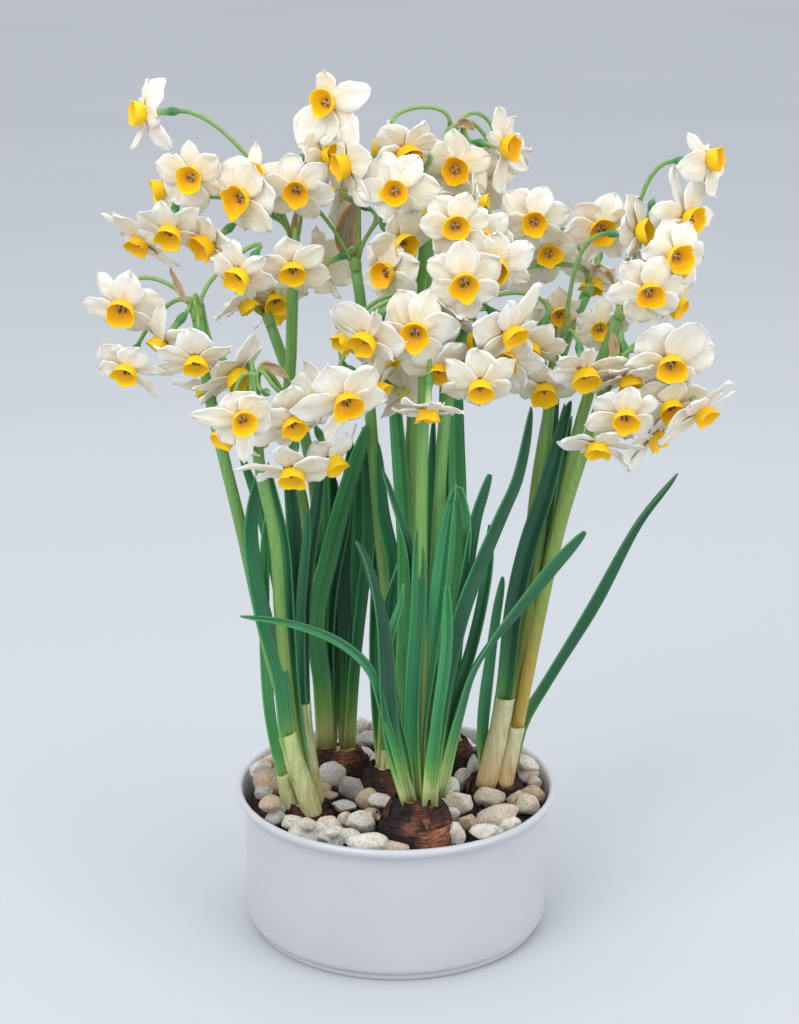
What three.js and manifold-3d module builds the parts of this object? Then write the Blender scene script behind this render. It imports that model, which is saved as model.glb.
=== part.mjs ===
// A pot of the white, golden-cupped sacred lily: a glazed bowl of soil and pebbles, six bulbs, their strap
// leaves and flower stems, and thirteen umbels of blooms. Millimetres, +Z up, the front of the pot at -Y.
import * as THREE from "three";
import { mergeVertices } from "three/addons/utils/BufferGeometryUtils.js";
import Module from "manifold-3d";

const wasm = await Module();
wasm.setup();

// The bowl
const POT = {
  rimRadius: 105,
  height: 94,
  wall: 5,
  wallRadius: 99.5,
  footRadius: 95.5,
  footHeight: 4.5,
  floor: 8,
  sides: 32,
};
const GAP = 0.3;
const SOIL_TOP = 80;

// Leaves, stems and blooms
const LEAF_THICKNESS = 1.4;
const LEAF_STATIONS = 5;
const SCAPE_RADIUS = 3.9;
const SCAPE_SIDES = 5;
const SCAPE_STEPS = 5;
const KNOB_RADIUS = 6;
const PEDICEL_RADIUS = 1.1;
const OVARY_RADIUS = 2.5;
const OVARY_LENGTH = 7;
const TUBE_LENGTH = 15;
const TUBE_RADIUS = 1.5;
const BLOOM_DIAMETER = 44;
const REACH = 20;

// The eye that the places are read from. A place is its x and z where it shows against the upright plane
// through the bowl's middle, and its depth y, along the same line of sight.
const EYE = new THREE.Vector3(2.2, -1366.5, 712.3);

function seen(x, z, y) {
  const onPlane = new THREE.Vector3(x, 0, z);
  return EYE.clone().lerp(onPlane, (y - EYE.y) / -EYE.y);
}

// Small steady differences between one piece and the next, the same in each run
function steady(seed) {
  let state = seed;
  return (low, high) => {
    state = (state * 16807) % 2147483647;
    return low + ((high - low) * state) / 2147483647;
  };
}

// Each bulb: its middle, widest radius, the height of its widest part and of its neck, and its crown, the
// oval that the shoots stand on.
const BULBS = {
  front: { x: 13, y: -62, radius: 24, waist: 84, neck: 107, crown: [14, 6] },
  left: { x: -57, y: -28, radius: 18, waist: 72, neck: 88, crown: [12, 6] },
  back_left: { x: -38, y: 37, radius: 20, waist: 76, neck: 98, crown: [14, 6] },
  middle: { x: -6, y: 9, radius: 19, waist: 78, neck: 98, crown: [10, 7.5] },
  right: { x: 65, y: 9, radius: 20, waist: 72, neck: 90, crown: [14, 6] },
  back_right: { x: 39, y: 53, radius: 18, waist: 78, neck: 98, crown: [7, 6] },
};

// Leaves of each bulb, from the base to the tip: the places, the depth at the base and at the tip, the width,
// and how far the blade turns on itself, in degrees.
const LEAVES = {
  front: [
    { y: [-66, -72], w: 9.5, turn: 25,
      p: [[9, 78], [2, 102], [-4, 125], [-8, 146], [-12, 186], [-14, 208], [-21, 247], [-26, 260]] },
    { y: [-64, -58], w: 6, turn: -30,
      p: [[11, 78], [8, 104], [0, 146], [-5, 185], [-2, 201], [3, 217], [5, 232]] },
    { y: [-60, -52], w: 5, turn: 40,
      p: [[10, 78], [6, 110], [-4, 170], [-8, 200], [-7, 218], [-4, 230], [1, 247]] },
    { y: [-62, -50], w: 10, turn: 20,
      p: [[13, 78], [10, 125], [11, 172], [14, 215], [14, 240], [13, 270]] },
    { y: [-58, -48], w: 11, turn: -25,
      p: [[15, 78], [15, 125], [22, 180], [28, 230], [33, 272], [38, 299]] },
    { y: [-48, -40], w: 6, turn: 10,
      p: [[35, 285], [39, 296], [43, 283], [45, 268], [45, 250], [43, 236]] },
    { y: [-69, -34], w: 10.5, turn: 35,
      p: [[22, 76], [23, 98], [29, 147], [35, 184], [43, 217], [54, 248], [67, 281], [75, 301], [84, 348]] },
    { y: [-60, -50], w: 8.5, turn: -35,
      p: [[28, 82], [34, 110], [41, 141], [49, 170], [63, 194], [82, 219], [102, 245], [120, 266]] },
    { y: [-55, -38], w: 8, turn: 20,
      p: [[24, 84], [28, 120], [34, 170], [42, 218], [48, 260], [51, 278], [59, 304]] },
    { y: [-54, -26], w: 7.5, turn: -20,
      p: [[25, 84], [29, 118], [39, 155], [47, 180], [55, 216], [60, 254], [59, 271]] },
    { y: [-56, -44], w: 6, turn: 30,
      p: [[12, 84], [12, 130], [12, 180], [11, 225], [8, 255], [-1, 284], [-9, 308]] },
    { y: [-65, -76], w: 5.5, turn: 30,
      p: [[7, 78], [3, 100], [-8, 142], [-17, 172], [-35, 190], [-65, 203], [-100, 209]] },
  ],
  left: [
    { y: [-34, -38], w: 11, turn: 25,
      p: [[-64, 96], [-71, 124], [-75, 165], [-87, 215], [-93, 262], [-91, 285], [-85, 312]] },
    { y: [-27, -20], w: 7, turn: -20,
      p: [[-67, 72], [-73, 92], [-81, 135], [-84, 182], [-83, 252], [-82, 277]] },
    { y: [-24, -12], w: 10.5, turn: 15,
      p: [[-57, 78], [-62, 130], [-64, 172], [-64, 225], [-66, 275], [-70, 318]] },
    { y: [-28, -30], w: 8, turn: -25,
      p: [[-57, 78], [-65, 140], [-68, 200], [-71, 258], [-75, 283], [-80, 312]] },
    { y: [-22, -2], w: 7, turn: 20,
      p: [[-56, 80], [-66, 160], [-76, 235], [-86, 282], [-98, 320]] },
    { y: [-22, 2], w: 9, turn: -20,
      p: [[-55, 80], [-59, 130], [-60, 190], [-57, 235], [-50, 280], [-43, 330]] },
    { y: [-26, -22], w: 5.5, turn: 20,
      p: [[-56, 84], [-62, 160], [-61, 215], [-57, 262], [-56, 281]] },
  ],
  back_left: [
    { y: [30, 15], w: 11.5, turn: 20,
      p: [[-46, 118], [-48, 165], [-52, 205], [-42, 252], [-30, 298], [-18, 336]] },
    { y: [33, 22], w: 8, turn: -25,
      p: [[-44, 118], [-44, 180], [-41, 230], [-31, 280], [-29, 303]] },
    { y: [38, 30], w: 8, turn: 15,
      p: [[-31, 118], [-28, 165], [-22, 225], [-18, 262], [-21, 335]] },
    { y: [41, 38], w: 9, turn: 25,
      p: [[-32, 118], [-32, 180], [-34, 240], [-28, 325]] },
    { y: [34, 26], w: 11, turn: -20,
      p: [[-44, 118], [-48, 170], [-48, 215], [-46, 250], [-45, 290], [-44, 322]] },
    { y: [43, 48], w: 9, turn: 20,
      p: [[-33, 118], [-29, 185], [-26, 247], [-25, 287], [-24, 325]] },
    { y: [39, 52], w: 8, turn: -15,
      p: [[-33, 118], [-37, 180], [-41, 240], [-38, 300]] },
    { y: [37, 46], w: 8, turn: 20,
      p: [[-43, 116], [-40, 185], [-37, 245], [-42, 320]] },
  ],
  middle: [
    { y: [8, 0], w: 9.5, turn: 20,
      p: [[-9, 100], [-5, 190], [-2, 240], [-9, 280], [-12, 326]] },
    { y: [6, -4], w: 9.5, turn: -20,
      p: [[-4, 100], [3, 150], [6, 240], [5, 280], [0, 350], [-2, 385]] },
    { y: [11, 8], w: 12, turn: 25,
      p: [[-3, 100], [18, 160], [33, 215], [38, 270], [37, 330], [36, 392]] },
    { y: [12, 18], w: 6, turn: -25,
      p: [[-2, 102], [17, 190], [22, 260], [24, 345]] },
    { y: [11, 22], w: 7, turn: 20,
      p: [[-9, 102], [-13, 170], [-12, 262]] },
  ],
  right: [
    { y: [7, -2], w: 8, turn: 20,
      p: [[58, 94], [56, 128], [60, 178], [64, 212], [68, 236]] },
    { y: [6, -6], w: 11.5, turn: -20,
      p: [[64, 112], [71, 160], [76, 215], [84, 256], [94, 290], [109, 352]] },
    { y: [12, 8], w: 8, turn: 15,
      p: [[70, 100], [79, 150], [85, 200], [92, 247], [99, 310], [105, 350]] },
    { y: [14, 10], w: 9.5, turn: 30,
      p: [[74, 100], [81, 134], [97, 165], [125, 216], [153, 273], [177, 305]] },
    { y: [17, 22], w: 7, turn: -20,
      p: [[69, 98], [81, 160], [95, 235], [106, 315], [110, 342]] },
    { y: [13, 26], w: 7, turn: 20,
      p: [[68, 95], [84, 160], [94, 240], [97, 310], [100, 375]] },
  ],
  back_right: [
    { y: [50, 36], w: 8, turn: 15,
      p: [[36, 122], [38, 175], [41, 225], [40, 280], [37, 345]] },
    { y: [54, 62], w: 9, turn: -15,
      p: [[38, 122], [36, 200], [32, 290], [30, 380]] },
  ],
};

// The pale tubular sheaths round the bases of the shoots: places, depth and radius
const SHEATHS = {
  front: [
    { y: -64, r: 4.6, p: [[9, 76], [7, 92]] },
    { y: -64, r: 5, p: [[19, 75], [22, 96]] },
    { y: -62, r: 3.4, p: [[27, 80], [31, 96]] },
  ],
  left: [
    { y: -32, r: 5.8, p: [[-56, 68], [-61, 90], [-67, 110], [-71, 128]] },
    { y: -27, r: 4.4, p: [[-66, 70], [-72, 86], [-76, 98]] },
    { y: -22, r: 5.4, p: [[-55, 72], [-58, 100], [-61, 130]] },
  ],
  back_left: [
    { y: 33, r: 5.6, p: [[-46, 112], [-46, 132], [-46, 162]] },
    { y: 38, r: 3.6, p: [[-30, 112], [-28, 140]] },
  ],
  middle: [{ y: 8, r: 5.5, p: [[-6, 98], [-5, 118]] }],
  right: [
    { y: 5, r: 5.8, p: [[58, 88], [63, 115], [67, 135], [70, 151]] },
    { y: 13, r: 4.6, p: [[70, 90], [74, 108], [79, 137]] },
  ],
  back_right: [{ y: 52, r: 5, p: [[37, 118], [36, 136]] }],
};

// Each umbel: the bulb it grows from, its scape's places and depths from the bulb to the neck, and its
// blooms. A bloom is [x, z, azimuth, elevation, diameter, push]: the middle of its tepals, the way it faces
// (azimuth 0 to the front, positive to the right) and how far it stands behind its place in a round head.
// One marked HELD keeps that place, where the others make room for each other.
const HELD = true;
const UMBELS = {
  far_left: {
    bulb: "left",
    scape: [[-59, 80, -30], [-70, 135, -29], [-84, 195, -29], [-98, 268, -28], [-115, 350, -26],
      [-123, 410, -25]],
    blooms: [[-95, 432, -30, -30, 44, 0], [-168, 413, -8, -25, 48, 0], [-164, 375, -15, -30, 44, 0],
      [-144, 394, -60, -50, 42, 0], [-125, 381, 0, -40, 44, -10, HELD], [-118, 362, 0, -60, 40, 14],
      [-103, 371, 45, -35, 44, 2, HELD]],
  },
  low_left: {
    bulb: "left",
    scape: [[-57, 80, -28], [-68, 135, -28], [-74, 205, -36], [-77, 262, -44], [-86, 312, -50],
      [-88, 366, -55]],
    blooms: [[-95, 335, 15, -10, 42, -12], [-105, 328, -50, -35, 44, 13, HELD], [-66, 342, 20, -30, 44, 0],
      [-88, 328, 20, -60, 42, 12], [-64, 309, -5, -45, 46, 0], [-41, 314, 40, -50, 44, 0],
      [-52, 352, 130, -20, 44, 0]],
    pods: [[-95, 356, -70], [-87, 350, -72], [-79, 357, -70]],
  },
  top_left: {
    bulb: "back_left",
    scape: [[-45, 118, 34], [-50, 200, 30], [-59, 285, 24], [-68, 330, 20], [-65, 380, 18],
      [-62, 454, 18]],
    blooms: [[-150, 530, -55, 0, 44, 0], [-123, 488, -10, -5, 44, 0], [-140, 484, -75, -10, 40, 15],
      [-84, 494, 0, 50, 42, 8], [-90, 478, -25, -5, 46, -20], [-60, 484, -5, -15, 44, 0, HELD],
      [-135, 465, -10, -40, 44, 0], [-154, 457, -40, -40, 44, 0], [-112, 455, -35, -25, 46, 0],
      [-62, 438, 0, -30, 44, -22, HELD]],
  },
  mid_left: {
    bulb: "back_left",
    scape: [[-44, 118, 37], [-48, 210, 37], [-52, 300, 36], [-66, 365, 35], [-79, 406, 35]],
    blooms: [[-76, 412, 10, -55, 44, 0], [-98, 415, 60, -50, 42, 0],
      [-72, 410, 70, -50, 40, 12]],
  },
  top_middle_left: {
    bulb: "middle",
    scape: [[-4, 102, 10], [-3, 190, 15], [-10, 262, 19], [-15, 330, 22], [-21, 409, 24],
      [-25, 440, 25]],
    blooms: [[-42, 536, -20, 20, 46, 0], [-50, 504, 42, 5, 42, 2, HELD], [-33, 481, -120, 20, 42, 0],
      [-8, 513, -100, 0, 42, 0], [-45, 438, -120, -25, 44, 0]],
  },
  top_middle: {
    bulb: "middle",
    scape: [[-3, 104, 12], [2, 200, 20], [8, 310, 28], [17, 400, 36], [24, 490, 42], [34, 521, 45]],
    blooms: [[6, 511, 25, -35, 44, 0], [35, 496, -5, 0, 44, 0], [50, 490, -30, 0, 44, 0],
      [67, 509, 35, 0, 44, 0], [68, 495, -60, -40, 42, 0]],
  },
  upper_middle: {
    bulb: "middle",
    scape: [[-4, 102, 8], [6, 200, 8], [9, 300, 6], [14, 415, 5], [20, 468, 5]],
    blooms: [[-22, 499, -60, -5, 44, -4], [1, 482, -5, 0, 46, 0], [-3, 493, 0, 30, 38, 14],
      [48, 474, 80, 0, 42, 0], [10, 474, 0, -60, 44, 0], [36, 462, 5, -5, 42, 0],
      [53, 452, -15, -20, 44, 0], [3, 452, 35, -20, 44, -4, HELD], [-5, 433, -35, -5, 44, -8, HELD]],
  },
  centre: {
    bulb: "front",
    scape: [[16, 82, -57], [17, 170, -52], [16, 262, -49], [17, 350, -46], [18, 410, -45]],
    blooms: [[-28, 352, 0, -25, 48, 0], [12, 396, -5, -15, 50, 0], [-18, 395, -30, -30, 44, 0],
      [-28, 391, -60, -35, 40, 6], [-8, 378, 50, -40, 42, 0], [-14, 360, 60, -30, 42, 0],
      [26, 373, 0, -40, 44, 0], [20, 346, -5, -65, 42, 0], [5, 357, 130, -30, 40, 0],
      [34, 404, -50, -50, 42, 5, HELD]],
  },
  right_of_centre: {
    bulb: "front",
    scape: [[19, 84, -55], [23, 180, -46], [27, 280, -38], [31, 345, -34], [43, 404, -30]],
    blooms: [[42, 427, 0, -15, 48, -16, HELD], [65, 438, -10, -25, 44, 0], [52, 362, 5, -35, 46, 0],
      [70, 396, 40, -30, 46, -15], [42, 390, 70, -10, 42, 30, HELD], [76, 373, -20, -20, 42, -10],
      [83, 387, -30, -40, 38, 15]],
  },
  upper_right: {
    bulb: "right",
    scape: [[66, 98, 14], [78, 165, 18], [84, 240, 22], [90, 310, 27], [105, 390, 32], [119, 425, 35]],
    blooms: [[84, 467, 0, -5, 44, 0], [91, 441, 5, -5, 42, 0], [77, 438, 150, 0, 40, 0],
      [125, 460, 5, -10, 46, 0], [122, 425, -20, -50, 40, 0]],
  },
  mid_right: {
    bulb: "right",
    scape: [[64, 98, 8], [82, 190, 8], [91, 265, 6], [95, 345, 2], [99, 386, 0]],
    blooms: [[88, 392, 60, -10, 40, 0], [92, 360, 0, -40, 44, 1, HELD], [103, 407, 10, -10, 36, 0],
      [127, 399, -5, -10, 36, -5, HELD], [115, 370, 10, -40, 46, -12], [147, 462, 50, -10, 42, -5, HELD]],
  },
  far_right: {
    bulb: "right",
    scape: [[72, 100, 13], [86, 178, 10], [104, 282, 0], [119, 353, -6], [139, 410, -10]],
    blooms: [[175, 466, 30, 0, 46, 0], [190, 502, 45, 8, 44, 0], [171, 443, 20, -5, 44, -15],
      [168, 428, 60, -10, 42, 0], [155, 421, 5, -15, 46, 0], [165, 414, 60, -30, 42, 0]],
    pods: [[156, 478, 14]],
  },
  low_right: {
    bulb: "right",
    scape: [[74, 100, 12], [87, 180, 0], [103, 265, -14], [115, 310, -23], [136, 378, -35]],
    blooms: [[170, 382, 5, -40, 50, 0], [170, 357, 5, -45, 44, 0], [145, 368, 20, -60, 44, -12, HELD],
      [189, 350, 40, -40, 44, 0], [143, 342, 0, -25, 44, 0], [160, 328, 50, -40, 44, 0],
      [124, 323, 0, -55, 44, 0]],
  },
};

// Solids in and out of the joining library
function closed(geometry) {
  const bare = geometry.clone();
  bare.deleteAttribute("normal");
  bare.deleteAttribute("uv");
  const merged = mergeVertices(bare, 1e-4);
  const position = merged.getAttribute("position");
  const index = new Uint32Array(merged.index.array);
  const kept = [];
  for (let i = 0; i < index.length; i += 3) {
    const [a, b, c] = index.slice(i, i + 3);
    if (a !== b && b !== c && c !== a) kept.push(a, b, c);
  }
  if (signedVolume(position, kept) < 0) kept.reverse();
  return new wasm.Manifold(
    new wasm.Mesh({
      numProp: 3,
      vertProperties: new Float32Array(position.array),
      triVerts: new Uint32Array(kept),
    }),
  );
}

function signedVolume(position, index) {
  let volume = 0;
  for (let i = 0; i < index.length; i += 3) {
    const [a, b, c] = [0, 1, 2].map((k) => new THREE.Vector3().fromBufferAttribute(position, index[i + k]));
    volume += a.dot(b.cross(c)) / 6;
  }
  return volume;
}

function geometryOf(solid) {
  const mesh = solid.getMesh();
  const geometry = new THREE.BufferGeometry();
  geometry.setAttribute("position", new THREE.BufferAttribute(new Float32Array(mesh.vertProperties), 3));
  geometry.setIndex(new THREE.BufferAttribute(new Uint32Array(mesh.triVerts), 1));
  geometry.computeVertexNormals();
  return geometry;
}

// A join's largest body, without slivers too short to keep
const SLIVER = 0.05;

function joined(solids) {
  const whole = wasm.Manifold.union(solids).asOriginal().simplify(SLIVER);
  return whole.decompose().sort((a, b) => b.volume() - a.volume())[0];
}

function cut(solid, tools) {
  return joined([tools.reduce((left, tool) => left.subtract(tool), solid)]);
}

function faceted(points, faces) {
  const geometry = new THREE.BufferGeometry().setFromPoints(points);
  geometry.setIndex(faces.flat());
  return closed(geometry);
}

// Two rings of the same count, the first nearer the start of the sweep, both turning left about its way
function band(first, second) {
  return first.flatMap((a, i) => {
    const next = (i + 1) % first.length;
    return [[a, first[next], second[next]], [a, second[next], second[i]]];
  });
}

// A tube of even width along a curve, as an extruded oval
function tube(places, radiusAcross, radiusDeep, sides, steps) {
  const path = new THREE.CatmullRomCurve3(places);
  const outline = new THREE.Shape();
  for (let i = 0; i < sides; i++) {
    const a = (2 * Math.PI * i) / sides;
    const [x, y] = [radiusAcross * Math.cos(a), radiusDeep * Math.sin(a)];
    if (i) outline.lineTo(x, y);
    else outline.moveTo(x, y);
  }
  return closed(new THREE.ExtrudeGeometry(outline, { steps, extrudePath: path, bevelEnabled: false }));
}

// A strap leaf: a blade with a keel along its back, widest in the middle, ending in a point
function leaf({ p, y, w, turn }) {
  const places = p.map(([x, z], i) => {
    const t = i / (p.length - 1);
    return seen(x, z, y[0] + (y[1] - y[0]) * t);
  });
  return blade(new THREE.CatmullRomCurve3(places), w, LEAF_THICKNESS, turn, LEAF_STATIONS);
}

function bladeWidth(t) {
  return t < 0.55 ? 0.82 + 0.33 * t : Math.sqrt(Math.max(0, 1 - ((t - 0.55) / 0.47) ** 3));
}

function blade(curve, width, thickness, turn, stations) {
  const points = [];
  const faces = [];
  const rings = [];
  for (let i = 0; i < stations; i++) {
    const t = i / stations;
    const along = curve.getTangentAt(t);
    const face = new THREE.Vector3(0, -1, 0).projectOnPlane(along).normalize();
    face.applyAxisAngle(along, THREE.MathUtils.degToRad(turn * (t + 0.3)));
    const side = face.clone().cross(along);
    const middle = curve.getPointAt(t);
    const half = (width / 2) * bladeWidth(t);
    const place = (across, out) => middle.clone().addScaledVector(side, across).addScaledVector(face, out);
    rings.push([0, 1, 2].map((k) => points.length + k));
    points.push(place(half, 0), place(-half, 0), place(0, -thickness));
  }
  const tip = points.length;
  points.push(curve.getPointAt(1));
  for (let i = 1; i < rings.length; i++) faces.push(...band(rings[i - 1], rings[i]));
  const last = rings.at(-1);
  last.forEach((a, i) => faces.push([a, last[(i + 1) % 3], tip]));
  faces.push([rings[0][2], rings[0][1], rings[0][0]]);
  return faceted(points, faces);
}

// A turned solid from a profile of [radius, height] places that starts and ends on the axis
function turned(profile, sides, x = 0, y = 0) {
  const geometry = new THREE.LatheGeometry(profile.map(([r, h]) => new THREE.Vector2(r, h)), sides);
  geometry.rotateX(Math.PI / 2);
  geometry.translate(x, y, 0);
  return closed(geometry);
}

function pot() {
  const { rimRadius: rim, height, wall, wallRadius, footRadius, footHeight, floor, sides } = POT;
  return turned([
    [0, 0],
    [footRadius, 0],
    [footRadius + 0.3, footHeight],
    [wallRadius - 1.5, footHeight + 1.5],
    [wallRadius, footHeight + 5],
    [wallRadius, height * 0.5],
    [rim - 5, height - 10],
    [rim - 0.5, height - 4],
    [rim - 1, height - 1],
    [rim - 3, height],
    [rim - wall, height - 2.5],
    [rim - wall - 9, floor + 12],
    [rim - wall - 18, floor],
    [0, floor],
  ], sides);
}

function soilBody() {
  const { rimRadius: rim, wall, floor, sides } = POT;
  const inner = rim - wall - GAP;
  return turned([
    [0, floor + GAP],
    [inner - 19, floor + GAP],
    [inner - 10.2, floor + 12 + GAP],
    [inner - 3, SOIL_TOP],
    [0, SOIL_TOP],
  ], sides / 2);
}

// A bulb is widest at its waist and narrows to an open neck. Grown a little, the same shape is its hole.
function bulb({ x, y, radius, waist, neck }, grow = 0) {
  const low = waist - radius * 0.8;
  return turned([
    [0, low - grow],
    [radius * 0.7 + grow, low - grow],
    [radius + grow, waist],
    [radius * 0.86 + grow, waist + (neck - waist) * 0.55],
    [radius * 0.62 + grow, neck],
    [0, neck + grow],
  ], 10, x, y);
}

const CROWN_DEPTH = 8;

// The oval foot of the shoots, let into the bulb's neck. Grown a little, it is the plain hole for itself.
function crown({ x, y, neck, crown: [across, deep] }, grow = 0) {
  const geometry = new THREE.CylinderGeometry(1, 1, 1, 8);
  geometry.rotateX(Math.PI / 2);
  geometry.scale(across + grow, deep + grow, CROWN_DEPTH + grow + (grow ? 20 : 0));
  geometry.translate(x, y, neck - CROWN_DEPTH / 2 + 2 + (grow ? 10 - grow / 2 : 0));
  return closed(geometry);
}

// The sheaths round the bases of one bulb's shoots. Grown a little, they are the holes for themselves.
function sheathsOf(name, grow = 0) {
  return SHEATHS[name].map(({ y, r, p }) =>
    tube(p.map(([x, z]) => seen(x, z, y)), r + grow, r * 0.75 + grow, 7, p.length - 1),
  );
}

// The leafy growth of one bulb: its sheaths, leaves and flower stems, which share one crown
function foliage(name) {
  const scapes = Object.values(UMBELS)
    .filter((umbel) => umbel.bulb === name)
    .map((umbel) => tube(scapePlaces(umbel), SCAPE_RADIUS, SCAPE_RADIUS * 0.85, SCAPE_SIDES, SCAPE_STEPS));
  return joined([crown(BULBS[name]), ...sheathsOf(name), ...LEAVES[name].map(leaf), ...scapes]);
}

function scapePlaces({ scape }) {
  const places = scape.map(([x, z, y]) => seen(x, z, y));
  const top = places.length - 1;
  const up = places[top].clone().sub(places[top - 1]).normalize();
  places[top].addScaledVector(up, -KNOB_RADIUS - GAP);
  return places;
}

function facing(azimuth, elevation) {
  const [a, e] = [azimuth, elevation].map(THREE.MathUtils.degToRad);
  return new THREE.Vector3(Math.sin(a) * Math.cos(e), -Math.cos(a) * Math.cos(e), Math.sin(e));
}

// How a bloom stands at a push back along the line of sight: its middle, its way and size, the end of its
// ovary, its pedicel's curve, and the lines that its tepals, cup and stem run along
const SPOKES = 12;

function standing(neck, up, [x, z, azimuth, elevation, diameter, own], push) {
  const way = facing(azimuth, elevation);
  const depth = neck.y - REACH * Math.max(-0.6, -way.y) + own + push;
  const middle = seen(x, z, depth);
  const size = diameter / BLOOM_DIAMETER;
  const ovaryEnd = middle.clone().addScaledVector(way, -TUBE_LENGTH - OVARY_LENGTH);
  const curve = pedicelCurve(neck, up, ovaryEnd, way);
  const right = new THREE.Vector3(0, 0, 1).projectOnPlane(way).normalize();
  const across = way.clone().cross(right);
  const rim = (radius, out) => Array.from({ length: SPOKES }, (_, i) => {
    const a = (2 * Math.PI * i) / SPOKES;
    return middle.clone()
      .addScaledVector(right, Math.cos(a) * radius * size)
      .addScaledVector(across, Math.sin(a) * radius * size)
      .addScaledVector(way, out * size);
  });
  const mouth = rim(CUP.mouth, CUP.height);
  const stem = [0.15, 0.4, 0.65, 0.85, 1].map((t) => curve.getPoint(t));
  const lines = [
    ...rim(TEPAL.tip, 0).map((tip) => [middle, tip]),
    ...mouth.map((lip, i) => [lip, mouth[(i + 4) % SPOKES]]),
    ...stem.slice(1).map((point, i) => [stem[i], point]),
    [ovaryEnd, middle],
  ];
  return { middle, way, right, size, curve, lines, radius: TEPAL.tip * size * 0.92 };
}

// How many lines pass through a bloom's round of tepals
function cuts(lines, { middle, way, radius }) {
  return lines.filter(([from, to]) => {
    const a = from.clone().sub(middle).dot(way);
    const b = to.clone().sub(middle).dot(way);
    return a * b < 0 && from.clone().lerp(to, a / (a - b)).distanceTo(middle) < radius;
  }).length;
}

// Two blooms that face the same way need room between their tepals
const ROOM = 4.5;

function crowding(one, other) {
  const between = other.middle.clone().sub(one.middle);
  if (between.length() > 110) return 0;
  const flat = one.way.dot(other.way) > 0.75 && Math.abs(between.dot(one.way)) < ROOM;
  const lapped = between.length() < 0.85 * (one.radius + other.radius);
  return cuts(one.lines, other) + cuts(other.lines, one) + (flat && lapped ? 3 : 0);
}

// A scape's sides, as lines
const CLEAR_OF_SCAPE = 5.5;

function scapeLines(umbel) {
  const places = scapePlaces(umbel);
  const sides = [[1, 0], [-1, 0], [0, 1], [0, -1]];
  return sides.flatMap(([x, y]) => places.slice(1).map((to, i) => {
    const off = new THREE.Vector3(x, y, 0).multiplyScalar(CLEAR_OF_SCAPE);
    return [places[i].clone().add(off), to.clone().add(off)];
  }));
}

// Each bloom in turn takes the least of these pushes at which it crosses the fewest others and scapes
const PUSHES = [0, 4, -4, 8, -8, 12, -12, 16, -16, 20, -20, 25, -25, 30, -30];

function settled() {
  const scapes = Object.values(UMBELS).flatMap(scapeLines);
  const done = [];
  const standings = {};
  for (const [name, umbel] of Object.entries(UMBELS)) {
    const { neck, up } = neckOf(umbel);
    standings[name] = umbel.blooms.map((one) => {
      const tries = (one.at(-1) === HELD ? [0] : PUSHES).map((push) => {
        const stand = standing(neck, up, one, push);
        const crossed = done.reduce((sum, other) => sum + crowding(stand, other), 0);
        return { stand, cost: crossed + 2 * cuts(scapes, stand) + Math.abs(push) * 0.04 };
      });
      const best = tries.reduce((a, b) => (b.cost < a.cost ? b : a)).stand;
      done.push(best);
      return best;
    });
  }
  return standings;
}

// The curve of a pedicel from the knob at the scape's top to the ovary behind a bloom
function pedicelCurve(neck, up, ovaryEnd, way) {
  const out = ovaryEnd.clone().sub(neck);
  const spread = out.clone().projectOnPlane(up).setLength(2.6);
  const start = neck.clone().add(spread).addScaledVector(up, 1);
  const reach = THREE.MathUtils.clamp(out.length() * 0.42, 12, 26);
  return new THREE.CubicBezierCurve3(
    start,
    start.clone().addScaledVector(up, reach).addScaledVector(spread, 1.5),
    ovaryEnd.clone().addScaledVector(way, -reach),
    ovaryEnd,
  );
}

// The sizes of a bloom of the usual diameter
const TEPAL = { base: 4.4, shoulder: 14.2, halfWidth: 7.7, tip: 22, ridge: 14, swell: 1 };
const CUP = { mouth: 8.3, height: 8.6, throat: 2.4 };
const LAYER = 0.75;
const TEPALS = 6;

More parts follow.
